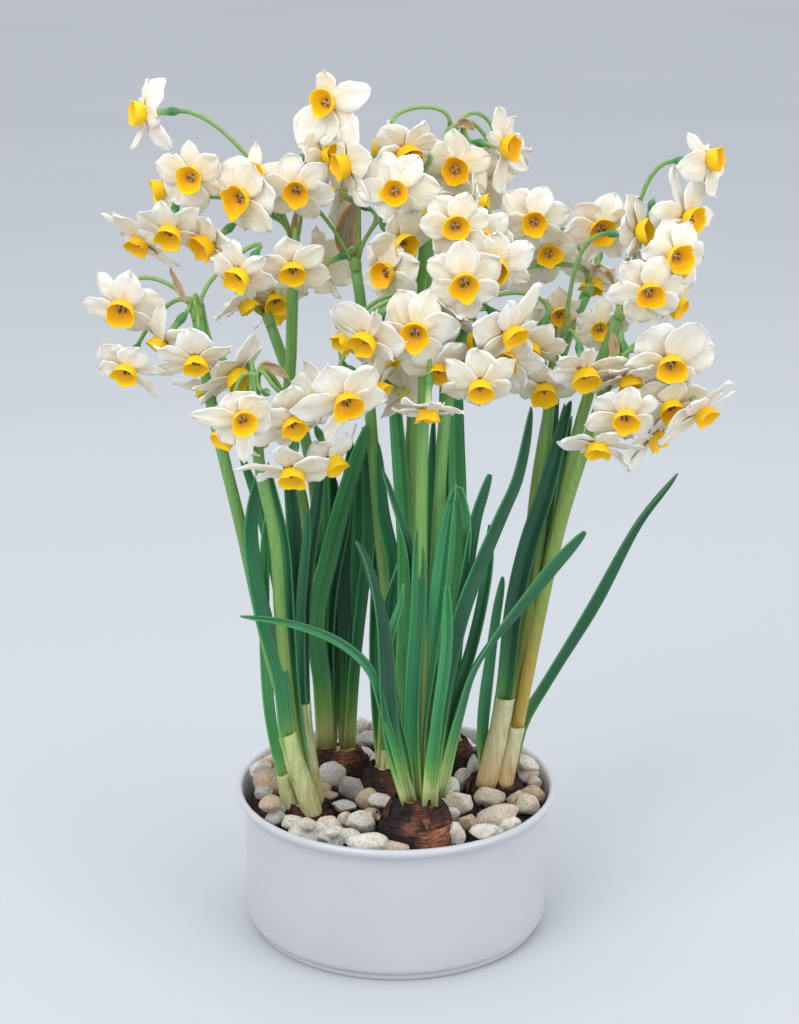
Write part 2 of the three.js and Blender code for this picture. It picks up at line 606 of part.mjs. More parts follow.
// A bloom with its tube, ovary and pedicel, as one closed body. Its own frame has +Z the way it faces.
function bloom({ middle, way, right: level, size, curve }, vary) {
  const points = [];
  const faces = [];
  const add = (point) => points.push(point) - 1;

  const right = level.clone().applyAxisAngle(way, vary(0, Math.PI / 3));
  const across = way.clone().cross(right);
  const local = (radius, angle, out) => middle.clone()
    .addScaledVector(right, Math.cos(angle) * radius)
    .addScaledVector(across, Math.sin(angle) * radius)
    .addScaledVector(way, out);
  const ring = (count, radius, out, start = 0) => Array.from({ length: count }, (_, i) =>
    add(local(radius, start + (2 * Math.PI * i) / count, out)));

  // the stem, from the knob to the back of the bloom, with three sides
  const ovary = middle.clone().addScaledVector(way, -TUBE_LENGTH - OVARY_LENGTH / 2);
  const stem = threeAlong(curve, [0, 0.375, 0.75], ovary, way, right).map((spots) => spots.map(add));
  stem.push(ring(3, OVARY_RADIUS, -TUBE_LENGTH - OVARY_LENGTH / 2));
  stem.push(ring(3, TUBE_RADIUS, -5 * size));
  faces.push([stem[0][2], stem[0][1], stem[0][0]]);
  for (let i = 1; i < stem.length; i++) faces.push(...band(stem[i - 1], stem[i]));

  // the two hexagons that the tepals grow from, and the flare behind them
  const start = -Math.PI / TEPALS;
  const low = ring(TEPALS, TEPAL.base * size, -LAYER, start);
  const high = ring(TEPALS, TEPAL.base * size, LAYER + 0.2, start);
  const back = stem.at(-1);
  for (let i = 0; i < 3; i++) {
    const [a, b] = [back[i], back[(i + 1) % 3]];
    const [c, d, e] = [low[2 * i], low[2 * i + 1], low[(2 * i + 2) % TEPALS]];
    faces.push([a, d, c], [a, b, d], [b, e, d]);
  }

  // six tepals, the three inner ones in front of the three outer ones
  for (let k = 0; k < TEPALS; k++) {
    const angle = (2 * Math.PI * k) / TEPALS;
    const layer = k % 2 ? LAYER : -LAYER;
    const bend = vary(-3, 2) * size;
    const spot = (radius, half, out) => {
      const [r, h] = [radius * size, half * size];
      const curl = bend * (radius / TEPAL.tip) ** 2;
      return add(local(Math.hypot(r, h), angle + Math.atan2(h, r), layer + out + curl));
    };
    const next = (k + 1) % TEPALS;
    const a = spot(TEPAL.shoulder, -TEPAL.halfWidth, 0);
    const tip = spot(TEPAL.tip, 0, 0);
    const b = spot(TEPAL.shoulder, TEPAL.halfWidth, 0);
    const ridge = spot(TEPAL.ridge, 0, TEPAL.swell);
    const front = [high[k], a, tip, b, high[next]];
    front.forEach((corner, i) => faces.push([ridge, corner, front[(i + 1) % front.length]]));
    faces.push([low[k], b, a], [low[k], low[next], b], [b, tip, a]);
    faces.push([low[k], a, high[k]], [high[next], b, low[next]]);
  }

  // the cup, open to its throat
  const mouth = ring(TEPALS, CUP.mouth * size, CUP.height * size, start);
  faces.push(...band(high, mouth));
  const throat = add(local(0, 0, CUP.throat));
  mouth.forEach((a, i) => faces.push([a, mouth[(i + 1) % TEPALS], throat]));
  return faceted(points, faces);
}

// Three places round each stop of a pedicel, halving the bend there, without a twist between one stop and
// the next. They are carried back from a last section beyond, which faces a way and has a corner at a spoke.
function threeAlong(curve, stops, beyond, way, corner) {
  const places = [...stops.map((t) => curve.getPoint(t)), beyond];
  const chords = stops.map((_, i) => places[i + 1].clone().sub(places[i]).normalize());
  const spoke = corner.clone();
  const sections = [];
  let ahead = way;
  for (let i = stops.length - 1; i >= 0; i--) {
    const along = chords[i].clone().add(chords[i - 1] ?? chords[i]).normalize();
    spoke.applyQuaternion(new THREE.Quaternion().setFromUnitVectors(ahead, along));
    sections.unshift(threeAbout(places[i], along, spoke, PEDICEL_RADIUS));
    ahead = along;
  }
  return sections;
}

function threeAbout(point, along, spoke, radius) {
  return [0, 1, 2].map((i) => {
    const arm = spoke.clone().applyAxisAngle(along, (2 * Math.PI * i) / 3);
    return point.clone().addScaledVector(arm, radius);
  });
}

// A spent flower: a pedicel that ends in its bare ovary
function pod(neck, up, [x, z, y]) {
  const end = seen(x, z, y);
  const way = end.clone().sub(neck).normalize().lerp(new THREE.Vector3(0, 0, -0.6), 0.5).normalize();
  const curve = pedicelCurve(neck, up, end, way);
  const points = [];
  const right = new THREE.Vector3(0, 1, 0).projectOnPlane(way).normalize();
  const widest = end.clone().addScaledVector(way, OVARY_LENGTH / 2);
  const rings = threeAlong(curve, [0, 0.5, 1], widest, way, right)
    .map((spots) => spots.map((point) => points.push(point) - 1));
  rings.push(threeAbout(widest, way, right, OVARY_RADIUS).map((point) => points.push(point) - 1));
  const tip = points.push(end.clone().addScaledVector(way, OVARY_LENGTH)) - 1;
  const faces = [[rings[0][2], rings[0][1], rings[0][0]]];
  for (let i = 1; i < rings.length; i++) faces.push(...band(rings[i - 1], rings[i]));
  const last = rings.at(-1);
  last.forEach((a, i) => faces.push([a, last[(i + 1) % 3], tip]));
  return faceted(points, faces);
}

// An umbel: the knob at the scape's top, the papery spathe that wrapped the buds, and the blooms
function neckOf({ scape }) {
  const [[x0, z0, y0], [x1, z1, y1]] = scape.slice(-2);
  const neck = seen(x1, z1, y1);
  return { neck, up: neck.clone().sub(seen(x0, z0, y0)).normalize() };
}

function umbelSolid(umbel, standings, vary) {
  const { neck, up } = neckOf(umbel);
  const upright = new THREE.Quaternion().setFromUnitVectors(new THREE.Vector3(0, 0, 1), up);
  const knob = closed(new THREE.OctahedronGeometry(KNOB_RADIUS)
    .applyQuaternion(upright)
    .translate(neck.x, neck.y, neck.z));
  const lean = new THREE.Vector3(vary(-1, 1), vary(-0.3, 1), 0).setLength(9);
  const spathe = new THREE.CatmullRomCurve3([
    neck.clone(),
    neck.clone().addScaledVector(up, 10).addScaledVector(lean, 0.5),
    neck.clone().addScaledVector(up, 20).add(lean),
  ]);
  return joined([
    knob,
    blade(spathe, 8, 1, vary(-40, 40), 2),
    ...standings.map((stand) => bloom(stand, vary)),
    ...(umbel.pods ?? []).map((one) => pod(neck, up, one)),
  ]);
}

// Pebbles: rounded stones in rows round the bowl, packed side by side and flat where they lie. Each is a
// raised cell with a flat crown, between the corners it shares with its neighbours.
const PEBBLES = {
  rows: [
    { outer: 96, inner: 77, count: 24 },
    { outer: 77, inner: 58, count: 19 },
    { outer: 58, inner: 39, count: 14 },
    { outer: 39, inner: 20, count: 9 },
  ],
  base: SOIL_TOP + GAP,
  valley: SOIL_TOP + 2.5,
  top: [86.5, 91.5],
  crown: 0.6,
};

function pebbleBed(vary) {
  const { rows, base, valley, top, crown } = PEBBLES;
  const points = [];
  const faces = [];
  const add = (radius, angle, height) =>
    points.push(new THREE.Vector3(radius * Math.cos(angle), radius * Math.sin(angle), height)) - 1;
  const seams = rows.map(({ count }) =>
    Array.from({ length: count }, (_, i) => ((i + vary(-0.2, 0.2)) / count) * 2 * Math.PI));
  const circles = [...rows.map((row) => row.outer), rows.at(-1).inner];

  // the corners on each circle, from the seams of the rows on both its sides
  const corners = circles.map((radius, c) => [...(seams[c - 1] ?? []), ...(seams[c] ?? [])]
    .map((angle) => ({ angle, point: add(radius + (c ? vary(-1.5, 1.5) : 0), angle, valley) }))
    .sort((a, b) => a.angle - b.angle));
  const between = (c, from, to) => {
    const turn = 2 * Math.PI;
    const ahead = ({ angle }) => (((angle - from) % turn) + turn) % turn;
    const span = (((to - from) % turn) + turn) % turn;
    return corners[c].filter((one) => ahead(one) <= span + 1e-9 || ahead(one) > turn - 1e-9)
      .sort((a, b) => (ahead(a) > turn - 1e-9 ? 0 : ahead(a)) - (ahead(b) > turn - 1e-9 ? 0 : ahead(b)))
      .map(({ point }) => point);
  };

  const stone = (line) => {
    const middle = line.reduce((sum, k) => sum.add(points[k]), new THREE.Vector3())
      .divideScalar(line.length);
    const height = vary(...top);
    const raised = line.map((k) => {
      const spot = middle.clone().lerp(points[k], crown);
      return points.push(new THREE.Vector3(spot.x, spot.y, height)) - 1;
    });
    faces.push(...band(line, raised));
    for (let i = 2; i < raised.length; i++) faces.push([raised[0], raised[i - 1], raised[i]]);
  };
  rows.forEach((row, r) => {
    seams[r].forEach((from, i) => {
      const to = seams[r][(i + 1) % row.count];
      stone([...between(r + 1, from, to).reverse(), ...between(r, from, to)]);
    });
  });
  stone(corners.at(-1).map(({ point }) => point));

  // the flat underside and the wall up to the outer corners
  const outer = corners[0].map(({ point }) => point);
  const under = corners[0].map(({ angle }) => add(circles[0], angle, base));
  faces.push(...band(under, outer));
  for (let i = 2; i < under.length; i++) faces.push([under[0], under[i], under[i - 1]]);
  return faceted(points, faces);
}

// Finishes
function material(color, roughness, metalness = 0) {
  return new THREE.MeshStandardMaterial({ color, roughness, metalness });
}

const FINISH = {
  glaze: () => material(0xe8eaee, 0.15),
  soil: () => material(0x241a15, 1),
  pebble: () => material(0xcfc6ba, 0.7),
  tunic: () => material(0x4a2d22, 0.85),
  leaf: () => material(0x3d7a4c, 0.5),
  tepal: () => material(0xf1ece0, 0.6),
};

const part = new THREE.Group();

function place(name, solid, finish) {
  const mesh = new THREE.Mesh(geometryOf(solid), finish());
  mesh.name = name;
  part.add(mesh);
}

const bulbs = Object.entries(BULBS);
const sheathHoles = Object.fromEntries(bulbs.map(([name]) => [name, sheathsOf(name, GAP)]));
place("pot", pot(), FINISH.glaze);
place("soil", cut(soilBody(), bulbs.map(([, one]) => bulb(one, GAP))), FINISH.soil);
place("pebbles", cut(pebbleBed(steady(411)), [
  ...bulbs.map(([, one]) => bulb(one, GAP)),
  ...bulbs.map(([, one]) => crown(one, GAP)),
  ...Object.values(sheathHoles).flat(),
]), FINISH.pebble);
for (const [name, one] of bulbs) {
  place(`bulb_${name}`, cut(bulb(one), [crown(one, GAP), ...sheathHoles[name]]), FINISH.tunic);
}
for (const [name] of bulbs) place(`leaves_${name}`, foliage(name), FINISH.leaf);
const standings = settled();
Object.entries(UMBELS).forEach(([name, one], i) => {
  place(`umbel_${name}`, umbelSolid(one, standings[name], steady(1000 + 37 * i)), FINISH.tepal);
});

export default part;
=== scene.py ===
import math

import bmesh
import bpy
import numpy as np
from mathutils import Matrix, Vector, noise


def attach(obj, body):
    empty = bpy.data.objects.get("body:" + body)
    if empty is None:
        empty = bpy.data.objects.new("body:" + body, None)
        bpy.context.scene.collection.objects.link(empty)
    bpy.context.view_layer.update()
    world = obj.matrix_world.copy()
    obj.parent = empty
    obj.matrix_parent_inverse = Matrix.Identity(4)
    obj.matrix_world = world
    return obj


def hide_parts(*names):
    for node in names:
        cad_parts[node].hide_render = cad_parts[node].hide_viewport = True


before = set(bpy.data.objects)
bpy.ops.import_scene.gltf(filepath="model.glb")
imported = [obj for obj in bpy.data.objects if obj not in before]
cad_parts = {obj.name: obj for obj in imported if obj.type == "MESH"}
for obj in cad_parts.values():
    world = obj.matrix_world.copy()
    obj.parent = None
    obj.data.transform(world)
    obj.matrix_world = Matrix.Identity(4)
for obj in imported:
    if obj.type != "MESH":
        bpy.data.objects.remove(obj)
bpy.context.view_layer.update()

# Sizes and places are in millimetres, and become metres as each mesh is made
MM = 0.001

# A random turn lies between none and this, in radians
ANY_TURN = 6.28

# The bowl and the soil in it
RIM_RADIUS = 105
BOWL_HEIGHT = 94
BOWL_WALL = 99.5
INNER_WALL = 98.5
SOIL_TOP = 81

# The stems and their knobs, and a bloom of the common width: its pedicel, ovary and tube, how far it stands
# out from its stem's neck, and the reach of its tepals and cup
SCAPE_RADIUS = 3.9
KNOB_RADIUS = 6
KNOB_GAP = 0.3
PEDICEL_RADIUS = 1.35
OVARY_LENGTH = 7
TUBE_LENGTH = 15
BLOOM_DIAMETER = 44
REACH = 20
TEPAL_TIP = 22
CUP_MOUTH = 8.3
CUP_HEIGHT = 8.6

# The eye that the places are read from. A place is its x and z where it shows against the upright plane
# through the bowl's middle, and its depth y, along the same line of sight.
EYE = np.array([2.2, -1366.5, 712.3])
PITCH = 17.583
LENS = 79.69

# Each bulb: its middle, widest radius, the height of its widest part and of its neck, its crown, the oval
# that the shoots stand on, and how red its skin is on its left and on its right.
BULBS = {
    "front": {"x": 13, "y": -62, "radius": 24, "waist": 84, "neck": 107, "crown": [14, 6], "red": [-1, 0.9]},
    "left": {"x": -57, "y": -28, "radius": 18, "waist": 72, "neck": 88, "crown": [12, 6], "red": [0, 0]},
    "back_left": {"x": -38, "y": 37, "radius": 20, "waist": 76, "neck": 98, "crown": [14, 6],
                  "red": [0.7, 0.9]},
    "middle": {"x": -6, "y": 9, "radius": 19, "waist": 78, "neck": 98, "crown": [10, 7.5],
               "red": [-0.2, 0.2]},
    "right": {"x": 65, "y": 9, "radius": 20, "waist": 72, "neck": 90, "crown": [14, 6], "red": [-0.2, 0.1]},
    "back_right": {"x": 39, "y": 53, "radius": 18, "waist": 78, "neck": 98, "crown": [7, 6],
                   "red": [0, 0.2]},
}

# The leaves of each bulb: the depth at the foot and at the tip, the width, the turn in degrees along the way,
# the share of its length from which a leaf that starts higher up is green, and the places that the middle
# line passes, as seen.
LEAVES = {
    "front": [
        {"depth": [-66, -72], "wide": 10.5, "turn": [5, 10, 15, 35, 65, 82],
         "places": [[9, 78], [2, 102], [-3, 125], [-5, 146], [-8, 186], [-11, 208], [-17, 235],
                    [-22, 251], [-26, 260]]},
        {"depth": [-64, -58], "wide": 6, "turn": -30,
         "places": [[11, 78], [8, 104], [0, 146], [-5, 185], [-2, 201], [3, 217], [5, 232]]},
        {"depth": [-60, -52], "wide": 5, "turn": 40,
         "places": [[10, 78], [6, 110], [-4, 170], [-8, 200], [-7, 218], [-4, 230], [1, 247]]},
        {"depth": [-62, -50], "wide": 10, "turn": 20,
         "places": [[13, 78], [10, 125], [11, 172], [14, 215], [14, 240], [13, 270]]},
        {"depth": [-58, -48], "wide": 11, "turn": -25,
         "places": [[15, 78], [15, 125], [22, 180], [28, 230], [33, 272], [38, 299]]},
        {"depth": [-48, -40], "wide": 6, "turn": 10, "from": 0.6,
         "places": [[35, 285], [39, 296], [43, 283], [45, 268], [45, 250], [43, 236]]},
        {"depth": [-69, -34], "wide": 10.5, "turn": 35,
         "places": [[22, 76], [23, 98], [29, 147], [35, 184], [43, 217], [54, 248], [67, 281], [75, 301],
                    [84, 348]]},
        {"depth": [-60, -50], "wide": 9.5, "turn": [15, 30, 50, 62, 30, 5, 0],
         "places": [[28, 82], [34, 110], [41, 141], [49, 170], [63, 194], [82, 219], [102, 245],
                    [120, 266]]},
        {"depth": [-55, -38], "wide": 8, "turn": 20,
         "places": [[24, 84], [28, 120], [34, 170], [42, 218], [48, 260], [51, 278], [59, 304]]},
        {"depth": [-54, -26], "wide": 7.5, "turn": -20,
         "places": [[25, 84], [29, 118], [39, 155], [47, 180], [55, 216], [60, 254], [59, 271]]},
        {"depth": [-56, -44], "wide": 6, "turn": 30,
         "places": [[12, 84], [12, 130], [12, 180], [11, 225], [8, 255], [-1, 284], [-9, 308]]},
        {"depth": [-65, -76], "wide": 5.5, "turn": 30,
         "places": [[7, 78], [3, 100], [-8, 142], [-17, 172], [-35, 190], [-65, 203], [-100, 209]]},
        {"depth": [-66, -70], "wide": 6, "turn": 0,
         "places": [[21, 78], [24, 108], [26.6, 137], [32.2, 186], [32.6, 229.7]]},
    ],
    "left": [
        {"depth": [-34, -38], "wide": 11, "turn": 25,
         "places": [[-64, 96], [-71, 124], [-75, 165], [-87, 215], [-93, 262], [-91, 285], [-85, 312]]},
        {"depth": [-27, -20], "wide": 7, "turn": -20,
         "places": [[-67, 72], [-73, 92], [-81, 135], [-84, 182], [-83, 252], [-82, 277]]},
        {"depth": [-24, -12], "wide": 10.5, "turn": 15,
         "places": [[-57, 78], [-62, 130], [-64, 172], [-64, 225], [-66, 275], [-70, 318]]},
        {"depth": [-28, -30], "wide": 8, "turn": -25,
         "places": [[-57, 78], [-65, 140], [-68, 200], [-71, 258], [-75, 283], [-80, 312]]},
        {"depth": [-22, -2], "wide": 7, "turn": 20,
         "places": [[-56, 80], [-66, 160], [-76, 235], [-86, 282], [-98, 320]]},
        {"depth": [-22, 2], "wide": 9, "turn": -20,
         "places": [[-55, 80], [-59, 130], [-60, 190], [-57, 235], [-50, 280], [-43, 330]]},
        {"depth": [-26, -22], "wide": 5.5, "turn": 20,
         "places": [[-56, 84], [-62, 160], [-61, 215], [-57, 262], [-56, 281]]},
    ],
    "back_left": [
        {"depth": [30, 15], "wide": 11.5, "turn": 20,
         "places": [[-46, 118], [-48, 165], [-52, 205], [-42, 252], [-30, 298], [-18, 336]]},
        {"depth": [33, 22], "wide": 8, "turn": -25,
         "places": [[-44, 118], [-44, 180], [-41, 230], [-31, 280], [-29, 303]]},
        {"depth": [38, 30], "wide": 8, "turn": 15,
         "places": [[-31, 118], [-28, 165], [-22, 225], [-18, 262], [-21, 335]]},
        {"depth": [41, 38], "wide": 9, "turn": 25,
         "places": [[-32, 118], [-32, 180], [-34, 240], [-28, 325]]},
        {"depth": [34, 26], "wide": 11, "turn": -20,
         "places": [[-44, 118], [-48, 170], [-48, 215], [-46, 250], [-45, 290], [-44, 322]]},
        {"depth": [43, 48], "wide": 9, "turn": 20,
         "places": [[-33, 118], [-29, 185], [-26, 247], [-25, 287], [-24, 325]]},
        {"depth": [39, 52], "wide": 8, "turn": -15,
         "places": [[-33, 118], [-37, 180], [-41, 240], [-38, 300]]},
        {"depth": [37, 46], "wide": 8, "turn": 20,
         "places": [[-43, 116], [-40, 185], [-37, 245], [-42, 320]]},
    ],
    "middle": [
        {"depth": [8, 0], "wide": 9.5, "turn": 20,
         "places": [[-9, 100], [-5, 190], [-2, 240], [-9, 280], [-12, 326]]},
        {"depth": [6, -4], "wide": 9.5, "turn": -20,
         "places": [[-4, 100], [3, 150], [6, 240], [5, 280], [0, 350], [-2, 385]]},
        {"depth": [11, 8], "wide": 12, "turn": 25,
         "places": [[-3, 100], [18, 160], [33, 215], [38, 270], [37, 330], [36, 392]]},
        {"depth": [12, 18], "wide": 6, "turn": -25,
         "places": [[-2, 102], [17, 190], [22, 260], [24, 345]]},
        {"depth": [11, 22], "wide": 7, "turn": 20,
         "places": [[-9, 102], [-13, 170], [-12, 262]]},
    ],
    "right": [
        {"depth": [7, -2], "wide": 8, "turn": 20,
         "places": [[58, 94], [56, 128], [60, 178], [64, 212], [68, 236]]},
        {"depth": [6, -6], "wide": 11.5, "turn": -20,
         "places": [[64, 112], [71, 160], [76, 215], [84, 256], [94, 290], [109, 352]]},
        {"depth": [12, 8], "wide": 8, "turn": 15,
         "places": [[70, 100], [79, 150], [85, 200], [92, 247], [99, 310], [105, 350]]},
        {"depth": [14, 10], "wide": 9.5, "turn": 30,
         "places": [[74, 100], [81, 134], [97, 165], [125, 216], [153, 273], [177, 305]]},
        {"depth": [17, 22], "wide": 7, "turn": -20,
         "places": [[69, 98], [81, 160], [95, 235], [106, 315], [110, 342]]},
        {"depth": [13, 26], "wide": 7, "turn": 20,
         "places": [[68, 95], [84, 160], [94, 240], [97, 310], [100, 375]]},
    ],
    "back_right": [
        {"depth": [50, 36], "wide": 8, "turn": 15,
         "places": [[36, 122], [38, 175], [41, 225], [40, 280], [37, 345]]},
        {"depth": [54, 62], "wide": 9, "turn": -15,
         "places": [[38, 122], [36, 200], [32, 290], [30, 380]]},
    ],
}

# The pale tubular sheaths round the bases of the shoots: depth, radius and places
SHEATHS = {
    "front": [],
    "left": [
        {"depth": -33, "radius": 6, "places": [[-54, 66], [-60, 88], [-66, 106], [-71, 127]]},
        {"depth": -28, "radius": 4.6, "places": [[-67, 67], [-71, 82], [-74, 99]]},
        {"depth": -22, "radius": 5.6, "places": [[-52, 74], [-56, 95], [-60, 130], [-61, 150]]},
    ],
    "back_left": [],
    "middle": [
        {"depth": 8, "radius": 5.5, "places": [[-6, 98], [-5, 118]]},
    ],
    "right": [
        {"depth": 3, "radius": 6.2, "places": [[59, 90], [64, 115], [68, 135], [71, 153]]},
        {"depth": 4, "radius": 4.9, "places": [[71, 90], [74, 108], [79, 132]]},
    ],
    "back_right": [
        {"depth": 52, "radius": 5, "places": [[37, 118], [36, 136]]},
    ],
}

# Last in a bloom's row, this keeps the bloom at its own depth
HELD = True

# Each umbel: its bulb, the places x, z and depth of its stem, its blooms, each with the x and z where its
# middle shows, the azimuth and elevation that it faces, its width and its own push back, and any faded pods.
UMBELS = {
    "far_left": {
        "bulb": "left",
        "scape": [[-59, 80, -30], [-70, 135, -29], [-84, 195, -29], [-98, 268, -28], [-115, 350, -26],
                  [-123, 410, -25]],
        "blooms": [
            [-95, 432, -30, -30, 44, 0], [-168, 413, -8, -25, 48, 0], [-164, 375, -15, -30, 44, 0],
            [-144, 394, -60, -50, 42, 0], [-125, 381, 0, -40, 44, -10, HELD], [-118, 362, 0, -60, 40, 14],
            [-103, 371, 45, -35, 44, 2, HELD],
        ],
    },
    "low_left": {
        "bulb": "left",
        "scape": [[-57, 80, -28], [-68, 135, -28], [-74, 205, -36], [-77, 262, -44], [-86, 312, -50],
                  [-88, 366, -55]],
        "blooms": [
            [-95, 335, 15, -10, 42, -12], [-105, 328, -50, -35, 44, 13, HELD], [-66, 342, 20, -30, 44, 0],
            [-88, 328, 20, -60, 42, 12], [-64, 309, -5, -45, 46, 0], [-41, 314, 40, -50, 44, 0],
            [-52, 352, 130, -20, 44, 0],
        ],
        "pods": [[-95, 356, -70], [-87, 350, -72], [-79, 357, -70]],
    },
    "top_left": {
        "bulb": "back_left",
        "scape": [[-45, 118, 34], [-50, 200, 30], [-59, 285, 24], [-68, 330, 20], [-65, 380, 18],
                  [-62, 454, 18]],
        "blooms": [
            [-150, 530, -55, 0, 44, 0], [-123, 488, -10, -5, 44, 0], [-140, 484, -75, -10, 40, 15],
            [-84, 494, 0, 50, 42, 8], [-90, 478, -25, -5, 46, -20], [-60, 484, -5, -15, 44, 0, HELD],
            [-135, 465, -10, -40, 44, 0], [-154, 457, -40, -40, 44, 0], [-112, 455, -35, -25, 46, 0],
            [-62, 438, 0, -30, 44, -22, HELD],
        ],
    },
    "mid_left": {
        "bulb": "back_left",
        "scape": [[-44, 118, 37], [-48, 210, 37], [-52, 300, 36], [-66, 365, 35], [-79, 406, 35]],
        "blooms": [
            [-76, 412, 10, -55, 44, 0], [-98, 415, 60, -50, 42, 0], [-72, 410, 70, -50, 40, 12],
        ],
    },
    "top_middle_left": {
        "bulb": "middle",
        "scape": [[-4, 102, 10], [-3, 190, 15], [-10, 262, 19], [-15, 330, 22], [-21, 409, 24],
                  [-25, 440, 25]],
        "blooms": [
            [-42, 536, -20, 20, 46, 0], [-50, 504, 42, 5, 42, 2, HELD], [-33, 481, -120, 20, 42, 0],
            [-8, 513, -100, 0, 42, 0], [-45, 438, -120, -25, 44, 0],
        ],
    },
    "top_middle": {
        "bulb": "middle",
        "scape": [[-3, 104, 12], [2, 200, 20], [8, 310, 28], [17, 400, 36], [24, 490, 42], [34, 521, 45]],
        "blooms": [
            [6, 511, 25, -35, 44, 0], [35, 496, -5, 0, 44, 0], [50, 490, -30, 0, 44, 0],
            [67, 509, 35, 0, 44, 0], [68, 495, -60, -40, 42, 0],
        ],
    },
    "upper_middle": {
        "bulb": "middle",
        "scape": [[-4, 102, 8], [6, 200, 8], [9, 300, 6], [14, 415, 5], [20, 468, 5]],
        "blooms": [
            [-22, 499, -60, -5, 44, -4], [1, 482, -5, 0, 46, 0], [-3, 493, 0, 30, 38, 14],
            [48, 474, 80, 0, 42, 0], [10, 474, 0, -60, 44, 0], [36, 462, 5, -5, 42, 0],
            [53, 452, -15, -20, 44, 0], [3, 452, 35, -20, 44, -4, HELD], [-5, 433, -35, -5, 44, -8, HELD],
        ],
    },
    "centre": {
        "bulb": "front",
        "scape": [[16, 82, -57], [17, 170, -52], [16, 262, -49], [17, 350, -46], [18, 410, -45]],
        "blooms": [
            [-28, 352, 0, -25, 48, 0], [12, 396, -5, -15, 50, 0], [-18, 395, -30, -30, 44, 0],
            [-28, 391, -60, -35, 40, 6], [-8, 378, 50, -40, 42, 0], [-14, 360, 60, -30, 42, 0],
            [26, 373, 0, -40, 44, 0], [20, 346, -5, -65, 42, 0], [5, 357, 130, -30, 40, 0],
            [34, 404, -50, -50, 42, 5, HELD],
        ],
    },
    "right_of_centre": {
        "bulb": "front",
        "scape": [[19, 84, -55], [23, 180, -46], [27, 280, -38], [31, 345, -34], [43, 404, -30]],
        "blooms": [
            [42, 427, 0, -15, 48, -16, HELD], [65, 438, -10, -25, 44, 0], [52, 362, 5, -35, 46, 0],
            [70, 396, 40, -30, 46, -15], [42, 390, 70, -10, 42, 30, HELD], [76, 373, -20, -20, 42, -10],
            [83, 387, -30, -40, 38, 15],
        ],
    },
    "upper_right": {
        "bulb": "right",
        "scape": [[66, 98, 14], [78, 165, 18], [84, 240, 22], [90, 310, 27], [105, 390, 32],
                  [119, 425, 35]],
        "blooms": [
            [84, 467, 0, -5, 44, 0], [91, 441, 5, -5, 42, 0], [77, 438, 150, 0, 40, 0],
            [125, 460, 5, -10, 46, 0], [122, 425, -20, -50, 40, 0],
        ],
    },
    "mid_right": {
        "bulb": "right",
        "scape": [[64, 98, 8], [82, 190, 8], [91, 265, 6], [95, 345, 2], [99, 386, 0]],
        "blooms": [
            [88, 392, 60, -10, 40, 0], [92, 360, 0, -40, 44, 1, HELD], [103, 407, 10, -10, 36, 0],
            [127, 399, -5, -10, 36, -5, HELD], [115, 370, 10, -40, 46, -12],
            [147, 462, 50, -10, 42, -5, HELD],
        ],
    },
    "far_right": {
        "bulb": "right",
        "scape": [[72, 100, 13], [86, 178, 10], [104, 282, 0], [119, 353, -6], [139, 410, -10]],
        "blooms": [
            [175, 466, 30, 0, 46, 0], [190, 502, 45, 8, 44, 0], [171, 443, 20, -5, 44, -15],
            [168, 428, 60, -10, 42, 0], [155, 421, 5, -15, 46, 0], [165, 414, 60, -30, 42, 0],
        ],
        "pods": [[156, 478, 14]],
    },
    "low_right": {
        "bulb": "right",
        "scape": [[74, 100, 12], [87, 180, 0], [103, 265, -14], [115, 310, -23], [136, 378, -35]],
        "blooms": [
            [170, 382, 5, -40, 50, 0], [170, 357, 5, -45, 44, 0], [145, 368, 20, -60, 44, -12, HELD],
            [189, 350, 40, -40, 44, 0], [143, 342, 0, -25, 44, 0], [160, 328, 50, -40, 44, 0],
            [124, 323, 0, -55, 44, 0],
        ],
    },
}


def seen(x, z, y):
    """The place at a depth that shows at x and z on the upright plane through the bowl's middle"""
    on_plane = np.array([x, 0.0, z])
    return EYE + (on_plane - EYE) * ((y - EYE[1]) / -EYE[1])


# Each draw is the last one times the factor, carried round at the length
STREAM_FACTOR = 16807
STREAM_LENGTH = 2147483647


def steady(seed):
    """Small steady differences between one piece and the next, the same in each run"""
    state = seed

    def vary(low, high):
        nonlocal state
        state = state * STREAM_FACTOR % STREAM_LENGTH
        return low + (high - low) * state / STREAM_LENGTH

    return vary


def rough(x, y, z):
    """Smooth lumps, between -1 and 1"""
    return noise.noise(Vector((x, y, z)))


def near(distance, width):
    """1 at no distance, and soon nothing past the width"""
    return math.exp(-((distance / width) ** 2))


def held(value, low=0.0, high=1.0):
    return max(low, min(high, value))


def unit(v):
    return v / np.linalg.norm(v)


def flat_to(v, normal):
    return v - normal * (v.dot(normal) / normal.dot(normal))


# Curves through places: a leaf's or a stem's line, and points evenly along it


def flowing(places, per_span=14):
    """Points of a centripetal curve through the places"""
    places = [np.asarray(p, dtype=float) for p in places]
    knots = [2 * places[0] - places[1], *places, 2 * places[-1] - places[-2]]
    line = [places[0]]
    for a, b, c, d in zip(knots, knots[1:], knots[2:], knots[3:]):
        gaps = [math.sqrt(np.linalg.norm(q - p)) for p, q in ((a, b), (b, c), (c, d))]
        t1 = gaps[0]
        t2 = t1 + gaps[1]
        t3 = t2 + gaps[2]
        for i in range(1, per_span + 1):
            t = t1 + (t2 - t1) * i / per_span
            ab = a + (b - a) * (t / t1)
            bc = b + (c - b) * ((t - t1) / (t2 - t1))
            cd = c + (d - c) * ((t - t2) / (t3 - t2))
            abc = ab + (bc - ab) * (t / t2)
            bcd = bc + (cd - bc) * ((t - t1) / (t3 - t1))
            line.append(abc + (bcd - abc) * ((t - t1) / (t2 - t1)))
    return np.array(line)


